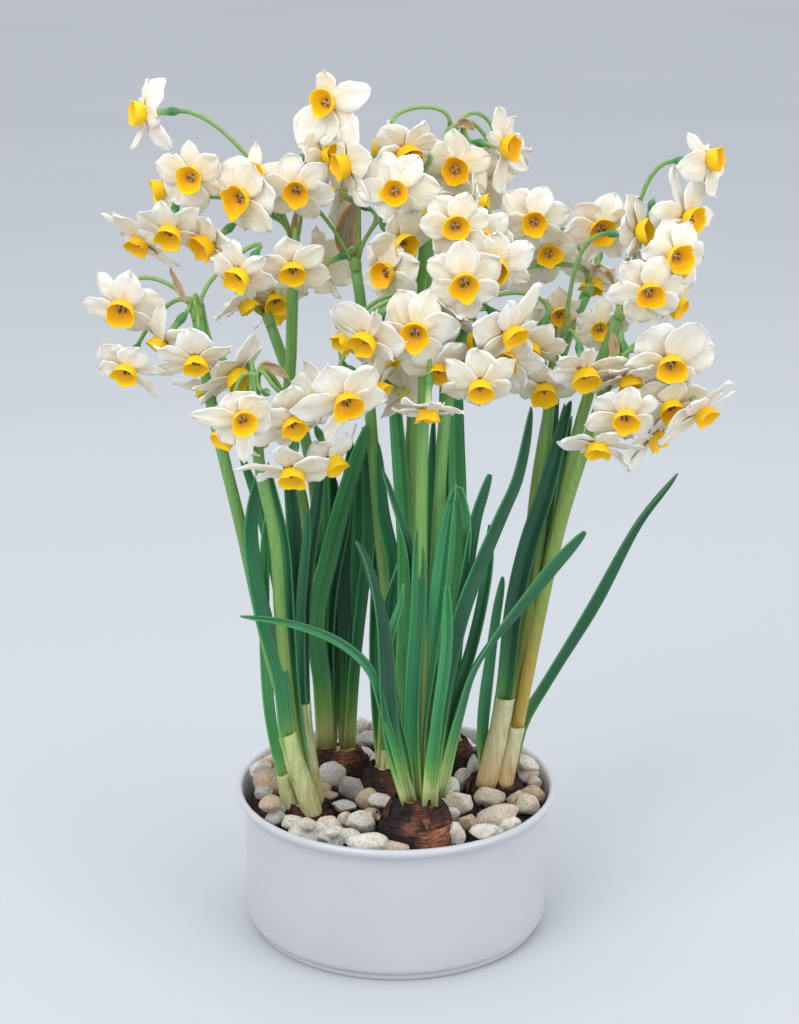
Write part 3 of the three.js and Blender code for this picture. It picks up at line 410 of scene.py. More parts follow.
def even(line, count):
    """Points at equal lengths along a line of points, both ends included"""
    steps = np.linalg.norm(np.diff(line, axis=0), axis=1)
    run = np.concatenate([[0], np.cumsum(steps)])
    wanted = np.linspace(0, run[-1], count)
    return np.array([[np.interp(w, run, line[:, k]) for k in range(3)] for w in wanted])


def ways_along(points):
    """The way on at each point, halving each bend"""
    chords = [unit(b - a) for a, b in zip(points, points[1:])]
    return [chords[0], *[unit(a + b) for a, b in zip(chords, chords[1:])], chords[-1]]


# How the blooms stand


def facing(azimuth, elevation):
    a, e = math.radians(azimuth), math.radians(elevation)
    return np.array([math.sin(a) * math.cos(e), -math.cos(a) * math.cos(e), math.sin(e)])


def neck_of(umbel):
    """The top of an umbel's stem, and the way that the stem ends in"""
    (x0, z0, y0), (x1, z1, y1) = umbel["scape"][-2:]
    neck = seen(x1, z1, y1)
    return neck, unit(neck - seen(x0, z0, y0))


def scape_places(umbel):
    places = [seen(*place) for place in umbel["scape"]]
    up = unit(places[-1] - places[-2])
    places[-1] = places[-1] - up * (KNOB_RADIUS + KNOB_GAP)
    return places


# How far off the knob's axis a pedicel starts, how wide it spreads first, and how far its two ends run
# straight on, as a share of its span and at least and at most
PEDICEL_START = 2.6
PEDICEL_SPREAD = 1.5
PEDICEL_SHARE = 0.42
PEDICEL_REACH = (12, 26)


def pedicel_curve(neck, up, ovary_end, way):
    """The four points of the pedicel's curve, from the knob at the scape's top to the ovary"""
    out = ovary_end - neck
    spread = unit(flat_to(out, up)) * PEDICEL_START
    start = neck + spread + up
    reach = held(np.linalg.norm(out) * PEDICEL_SHARE, *PEDICEL_REACH)
    return start, start + up * reach + spread * PEDICEL_SPREAD, ovary_end - way * reach, ovary_end


def curve_point(curve, t):
    a, b, c, d = curve
    s = 1 - t
    return a * s**3 + b * (3 * s * s * t) + c * (3 * s * t * t) + d * t**3


# A bloom is taken as spokes to its tepals' tips, lines across its cup's mouth, its pedicel and its tube,
# all inside a round that is a little smaller than its tepals' reach
SPOKES = 12
LIPS_APART = 4
PEDICEL_STOPS = (0.15, 0.4, 0.65, 0.85, 1)
ROUND_SHARE = 0.92
FACING_AWAY = 0.6


def standing(neck, up, one, push):
    """How a bloom stands at a push back along the line of sight, and the lines that its parts run along"""
    x, z, azimuth, elevation, diameter, own = one[:6]
    way = facing(azimuth, elevation)
    depth = neck[1] - REACH * max(-FACING_AWAY, -way[1]) + own + push
    middle = seen(x, z, depth)
    size = diameter / BLOOM_DIAMETER
    ovary_end = middle - way * (TUBE_LENGTH + OVARY_LENGTH)
    curve = pedicel_curve(neck, up, ovary_end, way)
    right = unit(flat_to(np.array([0.0, 0.0, 1.0]), way))
    across = np.cross(way, right)
    turns = 2 * math.pi * np.arange(SPOKES) / SPOKES
    arms = np.outer(np.cos(turns), right) + np.outer(np.sin(turns), across)
    tips = middle + arms * (TEPAL_TIP * size)
    mouth = middle + arms * (CUP_MOUTH * size) + way * (CUP_HEIGHT * size)
    pedicel = [curve_point(curve, t) for t in PEDICEL_STOPS]
    lines = [
        *[(middle, tip) for tip in tips],
        *[(lip, mouth[(i + LIPS_APART) % SPOKES]) for i, lip in enumerate(mouth)],
        *zip(pedicel, pedicel[1:]),
        (ovary_end, middle),
    ]
    return {"middle": middle, "way": way, "right": right, "size": size, "curve": curve,
            "lines": np.array(lines), "radius": TEPAL_TIP * size * ROUND_SHARE}


def cuts(lines, bloom):
    """How many lines pass through a bloom's round of tepals"""
    a = (lines[:, 0] - bloom["middle"]) @ bloom["way"]
    b = (lines[:, 1] - bloom["middle"]) @ bloom["way"]
    through = a * b < 0
    if not through.any():
        return 0
    share = (a[through] / (a[through] - b[through]))[:, None]
    met = lines[through, 0] + (lines[through, 1] - lines[through, 0]) * share
    return int((np.linalg.norm(met - bloom["middle"], axis=1) < bloom["radius"]).sum())


# Blooms farther apart than this never meet. Two that face alike (by the cosine of the angle between them)
# and stand less than this room in front of each other lie flat on each other where their rounds overlap.
APART = 110
ALIKE = 0.75
ROOM = 4.5
OVERLAP = 0.85
FLAT_COST = 3


def crowding(one, other):
    """How much two blooms are in each other's way"""
    between = other["middle"] - one["middle"]
    apart = np.linalg.norm(between)
    if apart > APART:
        return 0
    flat = one["way"].dot(other["way"]) > ALIKE and abs(between.dot(one["way"])) < ROOM
    lapped = apart < OVERLAP * (one["radius"] + other["radius"])
    return cuts(one["lines"], other) + cuts(other["lines"], one) + (FLAT_COST if flat and lapped else 0)


# How far off a stem's middle the lines run that all blooms keep clear of
CLEAR_OF_SCAPE = 5.5


def scape_lines(umbel):
    """Lines on the four sides of an umbel's stem, which all blooms keep clear of"""
    places = scape_places(umbel)
    sides = [np.array(side) * CLEAR_OF_SCAPE for side in ((1, 0, 0), (-1, 0, 0), (0, 1, 0), (0, -1, 0))]
    return [(a + off, b + off) for off in sides for a, b in zip(places, places[1:])]


# The pushes that are tried, and what a crossed stem and each millimetre of a push count for
PUSHES = [0, 4, -4, 8, -8, 12, -12, 16, -16, 20, -20, 25, -25, 30, -30]
SCAPE_COST = 2
PUSH_COST = 0.04


def settled():
    """Each bloom in turn takes the least of the pushes at which it crosses the fewest others and scapes"""
    scapes = np.array([line for umbel in UMBELS.values() for line in scape_lines(umbel)])
    done = []
    standings = {}
    for name, umbel in UMBELS.items():
        neck, up = neck_of(umbel)
        standings[name] = []
        for one in umbel["blooms"]:
            tries = []
            for push in [0] if one[-1] is HELD else PUSHES:
                stand = standing(neck, up, one, push)
                crossed = sum(crowding(stand, other) for other in done)
                tries.append((crossed + SCAPE_COST * cuts(scapes, stand) + abs(push) * PUSH_COST, stand))
            best = min(tries, key=lambda one_try: one_try[0])[1]
            done.append(best)
            standings[name].append(best)
    return standings


# Making meshes

# Vertices this near each other, in metres, become one
SAME_PLACE = 1e-6
SAME_PLACE_IN_SHEET = 1e-7


def fresh():
    """An empty mesh in the making, with the layers that the finishes read"""
    bm = bmesh.new()
    bm.verts.layers.float.new("along")
    bm.verts.layers.float.new("tint")
    bm.loops.layers.uv.new("surface")
    return bm


def added(target, bm, tint=0.0):
    """Moves one finished small mesh into a larger one"""
    layer = bm.verts.layers.float["tint"]
    for v in bm.verts:
        v[layer] = tint
    mesh = bpy.data.meshes.new("small")
    bm.to_mesh(mesh)
    bm.free()
    target.from_mesh(mesh)
    bpy.data.meshes.remove(mesh)


def rings(bm, frames, marks, sides):
    """A closed round shape: a circle that is extruded from one frame to the next"""
    layer = bm.verts.layers.float["along"]
    verts = bmesh.ops.create_circle(bm, segments=sides, radius=1, cap_ends=True)["verts"]
    edges = bm.edges[:]
    placed = Matrix.Identity(4)
    loops = []
    for i, (place, mark) in enumerate(zip(frames, marks)):
        if i:
            grown = bmesh.ops.extrude_edge_only(bm, edges=edges)["geom"]
            verts = [g for g in grown if isinstance(g, bmesh.types.BMVert)]
            edges = [g for g in grown if isinstance(g, bmesh.types.BMEdge) and g.is_boundary]
        bmesh.ops.transform(bm, matrix=place @ placed.inverted(), verts=verts)
        placed = place
        for v in verts:
            v[layer] = mark
        loops.append(verts)
    bmesh.ops.contextual_create(bm, geom=edges)
    return loops


def ring_place(centre, way, spoke, radius, oval=1.0):
    """A unit circle's place at a centre, in millimetres"""
    side = way.cross(spoke)
    columns = [spoke * radius * MM, side * radius * oval * MM, way * MM, Vector(centre) * MM]
    return Matrix([[*[c[k] for c in columns]] for k in range(3)] + [[0, 0, 0, 1]])


def spokes_along(ways, first=None):
    """A spoke square to the line at each of its points, carried on without a twist"""
    spoke = Vector(first) if first is not None else ways[0].orthogonal()
    spoke = (spoke - ways[0] * spoke.dot(ways[0])).normalized()
    spokes = [spoke.copy()]
    for a, b in zip(ways, ways[1:]):
        spoke.rotate(a.rotation_difference(b))
        spokes.append(spoke.copy())
    return spokes


def stem(target, rows, sides, tint=0.0, oval=1.0, spoke=None):
    """A round stem through rows of a place, the radius there and the mark for its colour"""
    points, radii, marks = zip(*rows)
    ways = [Vector(w) for w in ways_along(np.array(points))]
    spokes = spokes_along(ways, spoke)
    frames = [ring_place(*at, oval) for at in zip(points, ways, spokes, radii)]
    bm = fresh()
    rings(bm, frames, marks, sides)
    added(target, bm, tint)


def turned(bm, profile, sides):
    """A turned shape from [radius, height] places that start and end on the axis"""
    verts = [bm.verts.new((r * MM, 0, h * MM)) for r, h in profile]
    edges = [bm.edges.new(pair) for pair in zip(verts, verts[1:])]
    bmesh.ops.spin(bm, geom=verts + edges, cent=(0, 0, 0), axis=(0, 0, 1), angle=2 * math.pi,
                   steps=sides, use_merge=True)
    bmesh.ops.remove_doubles(bm, verts=bm.verts[:], dist=SAME_PLACE)
    bmesh.ops.recalc_face_normals(bm, faces=bm.faces[:])


def moved(bm, x, y, z=0):
    bmesh.ops.translate(bm, verts=bm.verts[:], vec=(x * MM, y * MM, z * MM))


def strip(bm, across, along):
    """A flat sheet to be bent: its vertices with their places across, -1 to 1, and along, 0 to 1"""
    verts = bmesh.ops.create_grid(bm, x_segments=across, y_segments=along, size=1, calc_uvs=True)["verts"]
    layer = bm.verts.layers.float["along"]
    spots = [(v, v.co.x, (v.co.y + 1) / 2) for v in verts]
    for v, _, t in spots:
        v[layer] = t
    return spots


def thickened(bm, thickness):
    """Gives a bent sheet its thickness, with a closed edge all round"""
    bmesh.ops.remove_doubles(bm, verts=bm.verts[:], dist=SAME_PLACE_IN_SHEET)
    bmesh.ops.recalc_face_normals(bm, faces=bm.faces[:])
    made = bmesh.ops.extrude_face_region(bm, geom=bm.faces[:], use_keep_orig=True)["geom"]
    copies = [one for one in made if isinstance(one, bmesh.types.BMVert)]
    bm.normal_update()
    for v in copies:
        v.co -= v.normal * (thickness * MM)
    bmesh.ops.recalc_face_normals(bm, faces=bm.faces[:])


def in_scene(name, data):
    made = bpy.data.objects.new(name, data)
    bpy.context.scene.collection.objects.link(made)
    return made


def piece(name, bm, finish, slot, *nodes):
    """Makes a finished piece of the object, which takes the place of the frame's own nodes"""
    mesh = bpy.data.meshes.new(name)
    bm.to_mesh(mesh)
    bm.free()
    mesh.polygons.foreach_set("use_smooth", [True] * len(mesh.polygons))
    mesh.materials.append(finish)
    made = in_scene(name, mesh)
    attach(made, "root")
    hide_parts(*nodes)


# Finishes

# The light that goes into green flesh, and how far
FLESH = {"Subsurface_Weight": 0.05, "Subsurface_Scale": 0.001}


def node_in(tree, kind, inputs=None, **props):
    made = tree.nodes.new(kind)
    for name, value in props.items():
        setattr(made, name, value)
    for key, value in (inputs or {}).items():
        if isinstance(value, bpy.types.NodeSocket):
            tree.links.new(value, made.inputs[key])
        else:
            made.inputs[key].default_value = value
    return made


def finish_of(name, roughness, **sockets):
    """A new finish: its node tree and its shader"""
    made = bpy.data.materials.new(name)
    made.use_nodes = True
    shader = made.node_tree.nodes["Principled BSDF"]
    shader.inputs["Roughness"].default_value = roughness
    for socket, value in sockets.items():
        shader.inputs[socket.replace("_", " ")].default_value = value
    return made, made.node_tree, shader


def coloured(tree, shader, shade):
    tree.links.new(shade, shader.inputs["Base Color"])


def bumped(tree, shader, height, strength, distance):
    bump = node_in(tree, "ShaderNodeBump", {"Height": height, "Strength": strength, "Distance": distance})
    tree.links.new(bump.outputs[0], shader.inputs["Normal"])


def solid(shade):
    """A colour or a grey with nothing see-through in it"""
    return (*shade, 1.0) if isinstance(shade, tuple) else (shade, shade, shade, 1.0)


def mixed(tree, share, first, second, blend="MIX"):
    first, second = (solid(shade) if isinstance(shade, tuple) else shade for shade in (first, second))
    made = node_in(tree, "ShaderNodeMix", {0: share, 6: first, 7: second}, data_type="RGBA", blend_type=blend)
    return made.outputs[2]


def multiplied(tree, share, shade, by):
    return mixed(tree, share, shade, by, "MULTIPLY")


def ramp(tree, value, *stops):
    """A colour ramp: stops of (place, colour or grey)"""
    made = node_in(tree, "ShaderNodeValToRGB", {"Fac": value})
    elements = made.color_ramp.elements
    while len(elements) < len(stops):
        elements.new(0.5)
    for element, (place, shade) in zip(elements, stops):
        element.position = place
        element.color = solid(shade)
    return made.outputs["Color"]


def number_from(tree, operation, first, second=0.0):
    return node_in(tree, "ShaderNodeMath", {0: first, 1: second}, operation=operation).outputs[0]


def scaled(tree, value, by):
    return number_from(tree, "MULTIPLY", value, by)


def vertex_mark(tree, name):
    """A number that each vertex carries: its place "along" a piece, or the "tint" of a single part"""
    return node_in(tree, "ShaderNodeAttribute", attribute_name=name).outputs["Fac"]


def on_object(tree, scale=(1, 1, 1)):
    """Object coordinates, stretched"""
    where = node_in(tree, "ShaderNodeTexCoord").outputs["Object"]
    return node_in(tree, "ShaderNodeMapping", {"Vector": where, "Scale": scale}).outputs[0]


def surface_of(tree):
    """A sheet's own coordinates, 0 to 1 across and along"""
    return node_in(tree, "ShaderNodeUVMap", uv_map="surface").outputs[0]


def on_surface(tree, scale):
    """A sheet's own coordinates, slid by the sheet's tint so that no two are alike"""
    slide = node_in(tree, "ShaderNodeCombineXYZ", {"Z": vertex_mark(tree, "tint")}).outputs[0]
    moved_on = node_in(tree, "ShaderNodeVectorMath", {0: surface_of(tree), 1: slide}, operation="ADD")
    return node_in(tree, "ShaderNodeMapping", {"Vector": moved_on.outputs[0], "Scale": scale}).outputs[0]


def grains(tree, where, scale, detail=3.0, roughness=0.55):
    inputs = {"Vector": where, "Scale": scale, "Detail": detail, "Roughness": roughness}
    return node_in(tree, "ShaderNodeTexNoise", inputs).outputs["Fac"]


def across_sheet(tree):
    return node_in(tree, "ShaderNodeSeparateXYZ", {"Vector": surface_of(tree)}).outputs["X"]


def edge_of(tree, inner, outer):
    """Grows from 0 to 1 from one distance off a sheet's middle line to another"""
    off = number_from(tree, "SUBTRACT", scaled(tree, across_sheet(tree), 2.0), 1.0)
    return ramp(tree, number_from(tree, "ABSOLUTE", off), (inner, 0.0), (outer, 1.0))


def painted_fold_shade(tree, dark, light):
    """Painted shade: darker on one side of a leaf's fold than on the other, as light falls on its two halves
    """
    return ramp(tree, across_sheet(tree), (0.46, dark), (0.56, light))


def glaze_finish():
    made, tree, shader = finish_of("white_glaze", 0.22, Coat_Weight=0.35, Coat_Roughness=0.12)
    soft = grains(tree, on_object(tree), 18, 2)
    coloured(tree, shader, ramp(tree, soft, (0.3, (0.50, 0.51, 0.543)), (0.7, (0.525, 0.535, 0.568))))
    bumped(tree, shader, grains(tree, on_object(tree), 60, 2), 0.05, 0.0004)
    return made


def tepal_finish():
    """White with cream toward the foot, partly the tepal's own tint and partly painted shade and yellow light
    from the cup, more so on some tepals, with fine lines and a whiter edge that is a painted highlight
    """
    made, tree, shader = finish_of("white_tepal", 0.55, Subsurface_Weight=0.18, Subsurface_Scale=0.0012,
                                   Specular_IOR_Level=0.3)
    along = vertex_mark(tree, "along")
    veins = grains(tree, on_surface(tree, (13, 1.2, 1)), 1.0, 3)
    fine = grains(tree, on_surface(tree, (46, 2.4, 1)), 1.0, 2)
    clouds = grains(tree, on_object(tree), 85, 3)
    lines = number_from(tree, "ADD", scaled(tree, veins, 0.65), scaled(tree, fine, 0.35))
    # Cream toward the foot: partly the tepal's own tint, partly painted shade and yellow light from the cup
    creamy = ramp(tree, along, (0.0, (0.78, 0.67, 0.30)), (0.16, (0.80, 0.73, 0.52)),
                  (0.5, (0.83, 0.78, 0.63)), (0.9, (0.87, 0.84, 0.75)))
    pure = ramp(tree, along, (0.0, (0.80, 0.72, 0.42)), (0.14, (0.84, 0.80, 0.68)),
                (0.5, (0.88, 0.86, 0.79)), (0.9, (0.91, 0.90, 0.86)))
    base = mixed(tree, ramp(tree, vertex_mark(tree, "tint"), (0.2, 0.0), (0.9, 1.0)), creamy, pure)
    lined = multiplied(tree, 0.7, base, ramp(tree, lines, (0.3, (0.84, 0.79, 0.70)), (0.62, 1.0)))
    cloudy = multiplied(tree, 0.6, lined, ramp(tree, clouds, (0.35, (0.92, 0.89, 0.84)), (0.6, 1.0)))
    # The whiter edge is a painted highlight, for light that the thin margin catches and lets through
    coloured(tree, shader, mixed(tree, edge_of(tree, 0.84, 0.99), cloudy, (0.95, 0.95, 0.93)))
    bumped(tree, shader, lines, 0.45, 0.0006)
    return made


def cup_finish():
    """Gold from the foot to the lip, and darker down the throat, partly a deeper colour and partly painted
    shade in the hollow, deeper on some cups
    """
    made, tree, shader = finish_of("golden_cup", 0.5, Subsurface_Weight=0.12, Subsurface_Scale=0.001,
                                   Specular_IOR_Level=0.3)
    ribs = grains(tree, on_object(tree), 420, 3)
    # Darker toward the bottom of the throat: partly the cup's deeper colour, partly painted shade in the
    # hollow
    gold = ramp(tree, vertex_mark(tree, "along"), (0.0, (1.0, 0.72, 0.03)), (0.3, (1.0, 0.62, 0.008)),
                (0.52, (1.0, 0.68, 0.015)), (0.68, (1.0, 0.66, 0.012)), (0.84, (0.97, 0.56, 0.008)),
                (0.93, (0.86, 0.40, 0.006)), (1.0, (0.40, 0.22, 0.02)))
    deeper = mixed(tree, ramp(tree, vertex_mark(tree, "tint"), (0.55, 0.0), (1.0, 0.75)), gold,
                   multiplied(tree, 1.0, gold, (0.96, 0.80, 0.5)))
    patch = ramp(tree, ribs, (0.3, (0.92, 0.84, 0.6)), (0.65, 1.0))
    coloured(tree, shader, multiplied(tree, 0.6, deeper, patch))
    bumped(tree, shader, ribs, 0.35, 0.0005)
    return made


def anther_finish():
    made, tree, shader = finish_of("olive_anther", 0.8)
    dust = grains(tree, on_object(tree), 900, 2)
    coloured(tree, shader, ramp(tree, dust, (0.35, (0.10, 0.055, 0.012)), (0.65, (0.38, 0.22, 0.03))))
    return made


def stalk_finish():
    """Pedicel, ovary and tube, from the knob to the bloom"""
    made, tree, shader = finish_of("green_stalk", 0.42, **FLESH)
    shade = ramp(tree, vertex_mark(tree, "along"), (0.0, (0.25, 0.40, 0.11)), (0.5, (0.22, 0.42, 0.12)),
                 (0.58, (0.07, 0.27, 0.08)), (0.68, (0.06, 0.25, 0.075)), (0.77, (0.22, 0.42, 0.13)),
                 (0.9, (0.48, 0.58, 0.26)), (1.0, (0.82, 0.78, 0.54)))
    patch = ramp(tree, grains(tree, on_object(tree), 260, 3), (0.3, (0.7, 0.75, 0.7)), (0.7, 1.0))
    coloured(tree, shader, multiplied(tree, 0.7, shade, patch))
    bumped(tree, shader, grains(tree, on_object(tree), 700, 2), 0.15, 0.0003)
    return made


def leaf_finish():
    """Green of a depth that differs from leaf to leaf, streaked and pale at the foot, with painted shade on
    one half of its fold and a painted highlight along its rim
    """
    made, tree, shader = finish_of("strap_leaf", 0.38, **FLESH)
    along = vertex_mark(tree, "along")
    lines = grains(tree, on_surface(tree, (34, 1.1, 1)), 1.0, 3)
    clouds = grains(tree, on_object(tree), 22, 3)
    green = ramp(tree, vertex_mark(tree, "tint"), (0.0, (0.010, 0.082, 0.042)), (0.4, (0.020, 0.160, 0.066)),
                 (0.75, (0.036, 0.245, 0.090)), (1.0, (0.072, 0.320, 0.098)))
    foot = ramp(tree, along, (0.06, (0.38, 0.46, 0.17)), (0.13, (0.19, 0.38, 0.08)),
                (0.22, (0.06, 0.27, 0.06)), (0.34, (0.025, 0.19, 0.06)))
    shade = mixed(tree, ramp(tree, along, (0.06, 0.0), (0.14, 0.15), (0.4, 1.0)), foot, green)
    streaks = ramp(tree, lines, (0.36, (0.42, 0.55, 0.52)), (0.5, 1.0), (0.64, (1.7, 1.42, 1.3)))
    striped = multiplied(tree, 0.8, shade, streaks)
    cloudy = multiplied(tree, 0.6, striped, ramp(tree, clouds, (0.3, 0.72), (0.7, 1.2)))
    # Painted shade and light on the two halves of the leaf's fold
    half_shaded = multiplied(tree, 1.0, cloudy, painted_fold_shade(tree, 0.80, 1.18))
    # A painted highlight along the leaf's rim
    rim_highlight = scaled(tree, edge_of(tree, 0.9, 1.0), 0.3)
    coloured(tree, shader, mixed(tree, rim_highlight, half_shaded, (0.13, 0.36, 0.10)))
    bumped(tree, shader, lines, 0.45, 0.0007)
    return made


def scape_finish():
    """Yellower than the leaves, and ochre low down on the tawny ones"""
    made, tree, shader = finish_of("flower_stem", 0.4, **FLESH)
    along = vertex_mark(tree, "along")
    lines = grains(tree, on_object(tree, (1, 1, 0.03)), 900, 3)
    fresh_green = ramp(tree, along, (0.0, (0.46, 0.47, 0.20)), (0.12, (0.22, 0.36, 0.08)),
                       (0.5, (0.135, 0.32, 0.08)), (0.85, (0.155, 0.36, 0.095)), (1.0, (0.19, 0.42, 0.13)))
    ochre = ramp(tree, along, (0.0, (0.50, 0.34, 0.10)), (0.26, (0.44, 0.31, 0.05)),
                 (0.42, (0.24, 0.31, 0.06)), (1.0, (0.16, 0.34, 0.09)))
    shade = mixed(tree, vertex_mark(tree, "tint"), fresh_green, ochre)
    lined = ramp(tree, lines, (0.3, (0.66, 0.74, 0.60)), (0.7, 1.15))
    coloured(tree, shader, multiplied(tree, 0.7, shade, lined))
    bumped(tree, shader, lines, 0.25, 0.0004)
    return made


def sheath_finish():
    made, tree, shader = finish_of("pale_sheath", 0.55, **FLESH)
    along = vertex_mark(tree, "along")
    lines = grains(tree, on_object(tree, (1, 1, 0.03)), 700, 3)
    stains = grains(tree, on_object(tree, (1, 1, 0.5)), 130, 4)
    greenish = ramp(tree, along, (0.0, (0.50, 0.48, 0.22)), (0.25, (0.50, 0.53, 0.25)),
                    (0.7, (0.46, 0.53, 0.24)), (1.0, (0.40, 0.52, 0.20)))
    tawny = ramp(tree, along, (0.0, (0.62, 0.42, 0.20)), (0.22, (0.68, 0.50, 0.28)),
                 (0.5, (0.62, 0.55, 0.34)), (1.0, (0.56, 0.56, 0.36)))
    shade = mixed(tree, vertex_mark(tree, "tint"), greenish, tawny)
    lined = multiplied(tree, 0.7, shade, ramp(tree, lines, (0.3, (0.66, 0.69, 0.55)), (0.7, 1.15)))
    worn = ramp(tree, stains, (0.3, (0.62, 0.50, 0.32)), (0.55, 1.0))
    coloured(tree, shader, multiplied(tree, 0.6, lined, worn))
    bumped(tree, shader, lines, 0.3, 0.0005)
    return made


def spathe_finish():
    made, tree, shader = finish_of("papery_spathe", 0.6, Subsurface_Weight=0.1, Subsurface_Scale=0.001)
    lines = grains(tree, on_surface(tree, (22, 1.2, 1)), 1.0, 3)
    stains = ramp(tree, grains(tree, on_object(tree), 150, 3), (0.35, 0.0), (0.65, 1.0))
    shade = mixed(tree, stains, (0.50, 0.36, 0.20), (0.48, 0.47, 0.42))
    dry = multiplied(tree, 0.75, shade, ramp(tree, lines, (0.3, (0.55, 0.38, 0.22)), (0.65, 1.1)))
    coloured(tree, shader, mixed(tree, edge_of(tree, 0.5, 1.0), dry, (0.66, 0.36, 0.12)))
    bumped(tree, shader, lines, 0.4, 0.0005)
    return made


def tunic_finish():
    """Nearly black brown, redder in blotches and where a bulb's tint says so, with dry fibres round it"""
    made, tree, shader = finish_of("bulb_tunic", 0.72, Specular_IOR_Level=0.25)
    blotch = grains(tree, on_object(tree), 60, 4, 0.6)
    fibres = grains(tree, on_object(tree, (0.35, 0.35, 2.4)), 420, 3, 0.55)
    redness = number_from(tree, "ADD", blotch, scaled(tree, vertex_mark(tree, "tint"), 0.22))
    shade = ramp(tree, redness, (0.40, (0.020, 0.011, 0.012)), (0.52, (0.045, 0.020, 0.018)),
                 (0.64, (0.13, 0.050, 0.030)), (0.80, (0.34, 0.14, 0.075)))
    streak = ramp(tree, fibres, (0.40, (0.28, 0.22, 0.22)), (0.58, 1.0), (0.70, (1.9, 1.6, 1.5)))
    coloured(tree, shader, multiplied(tree, 0.8, shade, streak))
    bumped(tree, shader, fibres, 0.8, 0.0014)
    return made


def pebble_finish():
    """Each stone's own shade, with tan clouds and dark specks"""
    made, tree, shader = finish_of("pebble_stone", 0.72)
    base = node_in(tree, "ShaderNodeAttribute", attribute_name="stone_shade").outputs["Color"]
    clouds = grains(tree, on_object(tree), 70, 4, 0.6)
    specks = grains(tree, on_object(tree), 620, 3, 0.7)
    veiled = mixed(tree, ramp(tree, clouds, (0.45, 0.0), (0.72, 0.55)), base, (0.58, 0.45, 0.32))
    spots = ramp(tree, specks, (0.36, (0.42, 0.41, 0.40)), (0.5, 1.0))
    coloured(tree, shader, multiplied(tree, 0.65, veiled, spots))
    bumped(tree, shader, number_from(tree, "ADD", specks, scaled(tree, clouds, 1.5)), 0.8, 0.0012)
    return made


def soil_finish():
    made, tree, shader = finish_of("potting_soil", 0.95)
    lumps = grains(tree, on_object(tree), 330, 5, 0.65)
    coloured(tree, shader, ramp(tree, lumps, (0.34, (0.006, 0.0035, 0.003)), (0.52, (0.032, 0.013, 0.010)),
                                (0.70, (0.13, 0.055, 0.038))))
    bumped(tree, shader, lumps, 1.0, 0.0025)
    return made


def floor_finish():
    made, tree, shader = finish_of("pale_floor", 0.75)
    soft = grains(tree, on_object(tree), 1.2, 1)
    coloured(tree, shader, ramp(tree, soft, (0.3, (0.51, 0.54, 0.575)), (0.7, (0.53, 0.56, 0.595))))
    return made


# The bowl, the soil and the stones

# The bowl's outline in steps of [radius, height], from under its middle over the rim and down inside
FOOT_RING = [[0, 0], [94, 0], [95, 0.3], [95.5, 1.2], [95.7, 3.2], [95.1, 4.3]]
HEEL = [[96.2, 4.9], [98, 5.8], [99.1, 7.2]]
WALL = [[BOWL_WALL, height] for height in (9.5, 25, 45, 62, 74)]
ROLLED_RIM = [
    [99.6, 80], [100.1, 83.6], [101.2, 86], [103, 87.8], [104.5, 89.6], [RIM_RADIUS, 91.2], [104.7, 92.6],
    [103.6, 93.7], [102.2, BOWL_HEIGHT], [101.1, 93.2], [100.3, 91.4],
]
INSIDE = [[99.4, 86], [97.4, 66], [94.5, 42], [91, 22], [87.5, 13], [82, 8.6], [76, 8], [0, 8]]
BOWL_SIDES = 144


def bowl():
    bm = fresh()
    turned(bm, [*FOOT_RING, *HEEL, *WALL, *ROLLED_RIM, *INSIDE], BOWL_SIDES)
    piece("bowl_glazed", bm, glaze_finish(), "glaze", "pot")


SOIL_SIDE = [[0, 9], [78, 9], [88, 30], [94.5, 70], [95.5, 80], [92, 82]]
SOIL_RINGS = range(88, 0, -4)
SOIL_SIDES = 96
UNEVEN_FROM = 77.5
# Lumps of soil: their height, how close together they are, and a place in the pattern
SOIL_LUMPS = [(3.2, 0.09, 3.0), (1.8, 0.28, 7.0)]


def soil():
    """A disc of uneven soil, with a flat underside deep in the bowl"""
    bm = fresh()
    turned(bm, [*SOIL_SIDE, *[[r, SOIL_TOP] for r in SOIL_RINGS], [0, SOIL_TOP]], SOIL_SIDES)
    for v in bm.verts:
        if v.co.z > UNEVEN_FROM * MM:
            x, y = v.co.x / MM, v.co.y / MM
            v.co.z += sum(lift * rough(x * close, y * close, seed) for lift, close, seed in SOIL_LUMPS) * MM
    piece("soil_rough", bm, SOIL_FINISH, "soil", "soil")


SHADES = {
    "white": (0.72, 0.69, 0.63),
    "beige": (0.66, 0.59, 0.48),
    "tan": (0.56, 0.43, 0.30),
    "pink": (0.58, 0.45, 0.36),
    "grey": (0.46, 0.46, 0.44),
    "dark": (0.30, 0.30, 0.29),
}

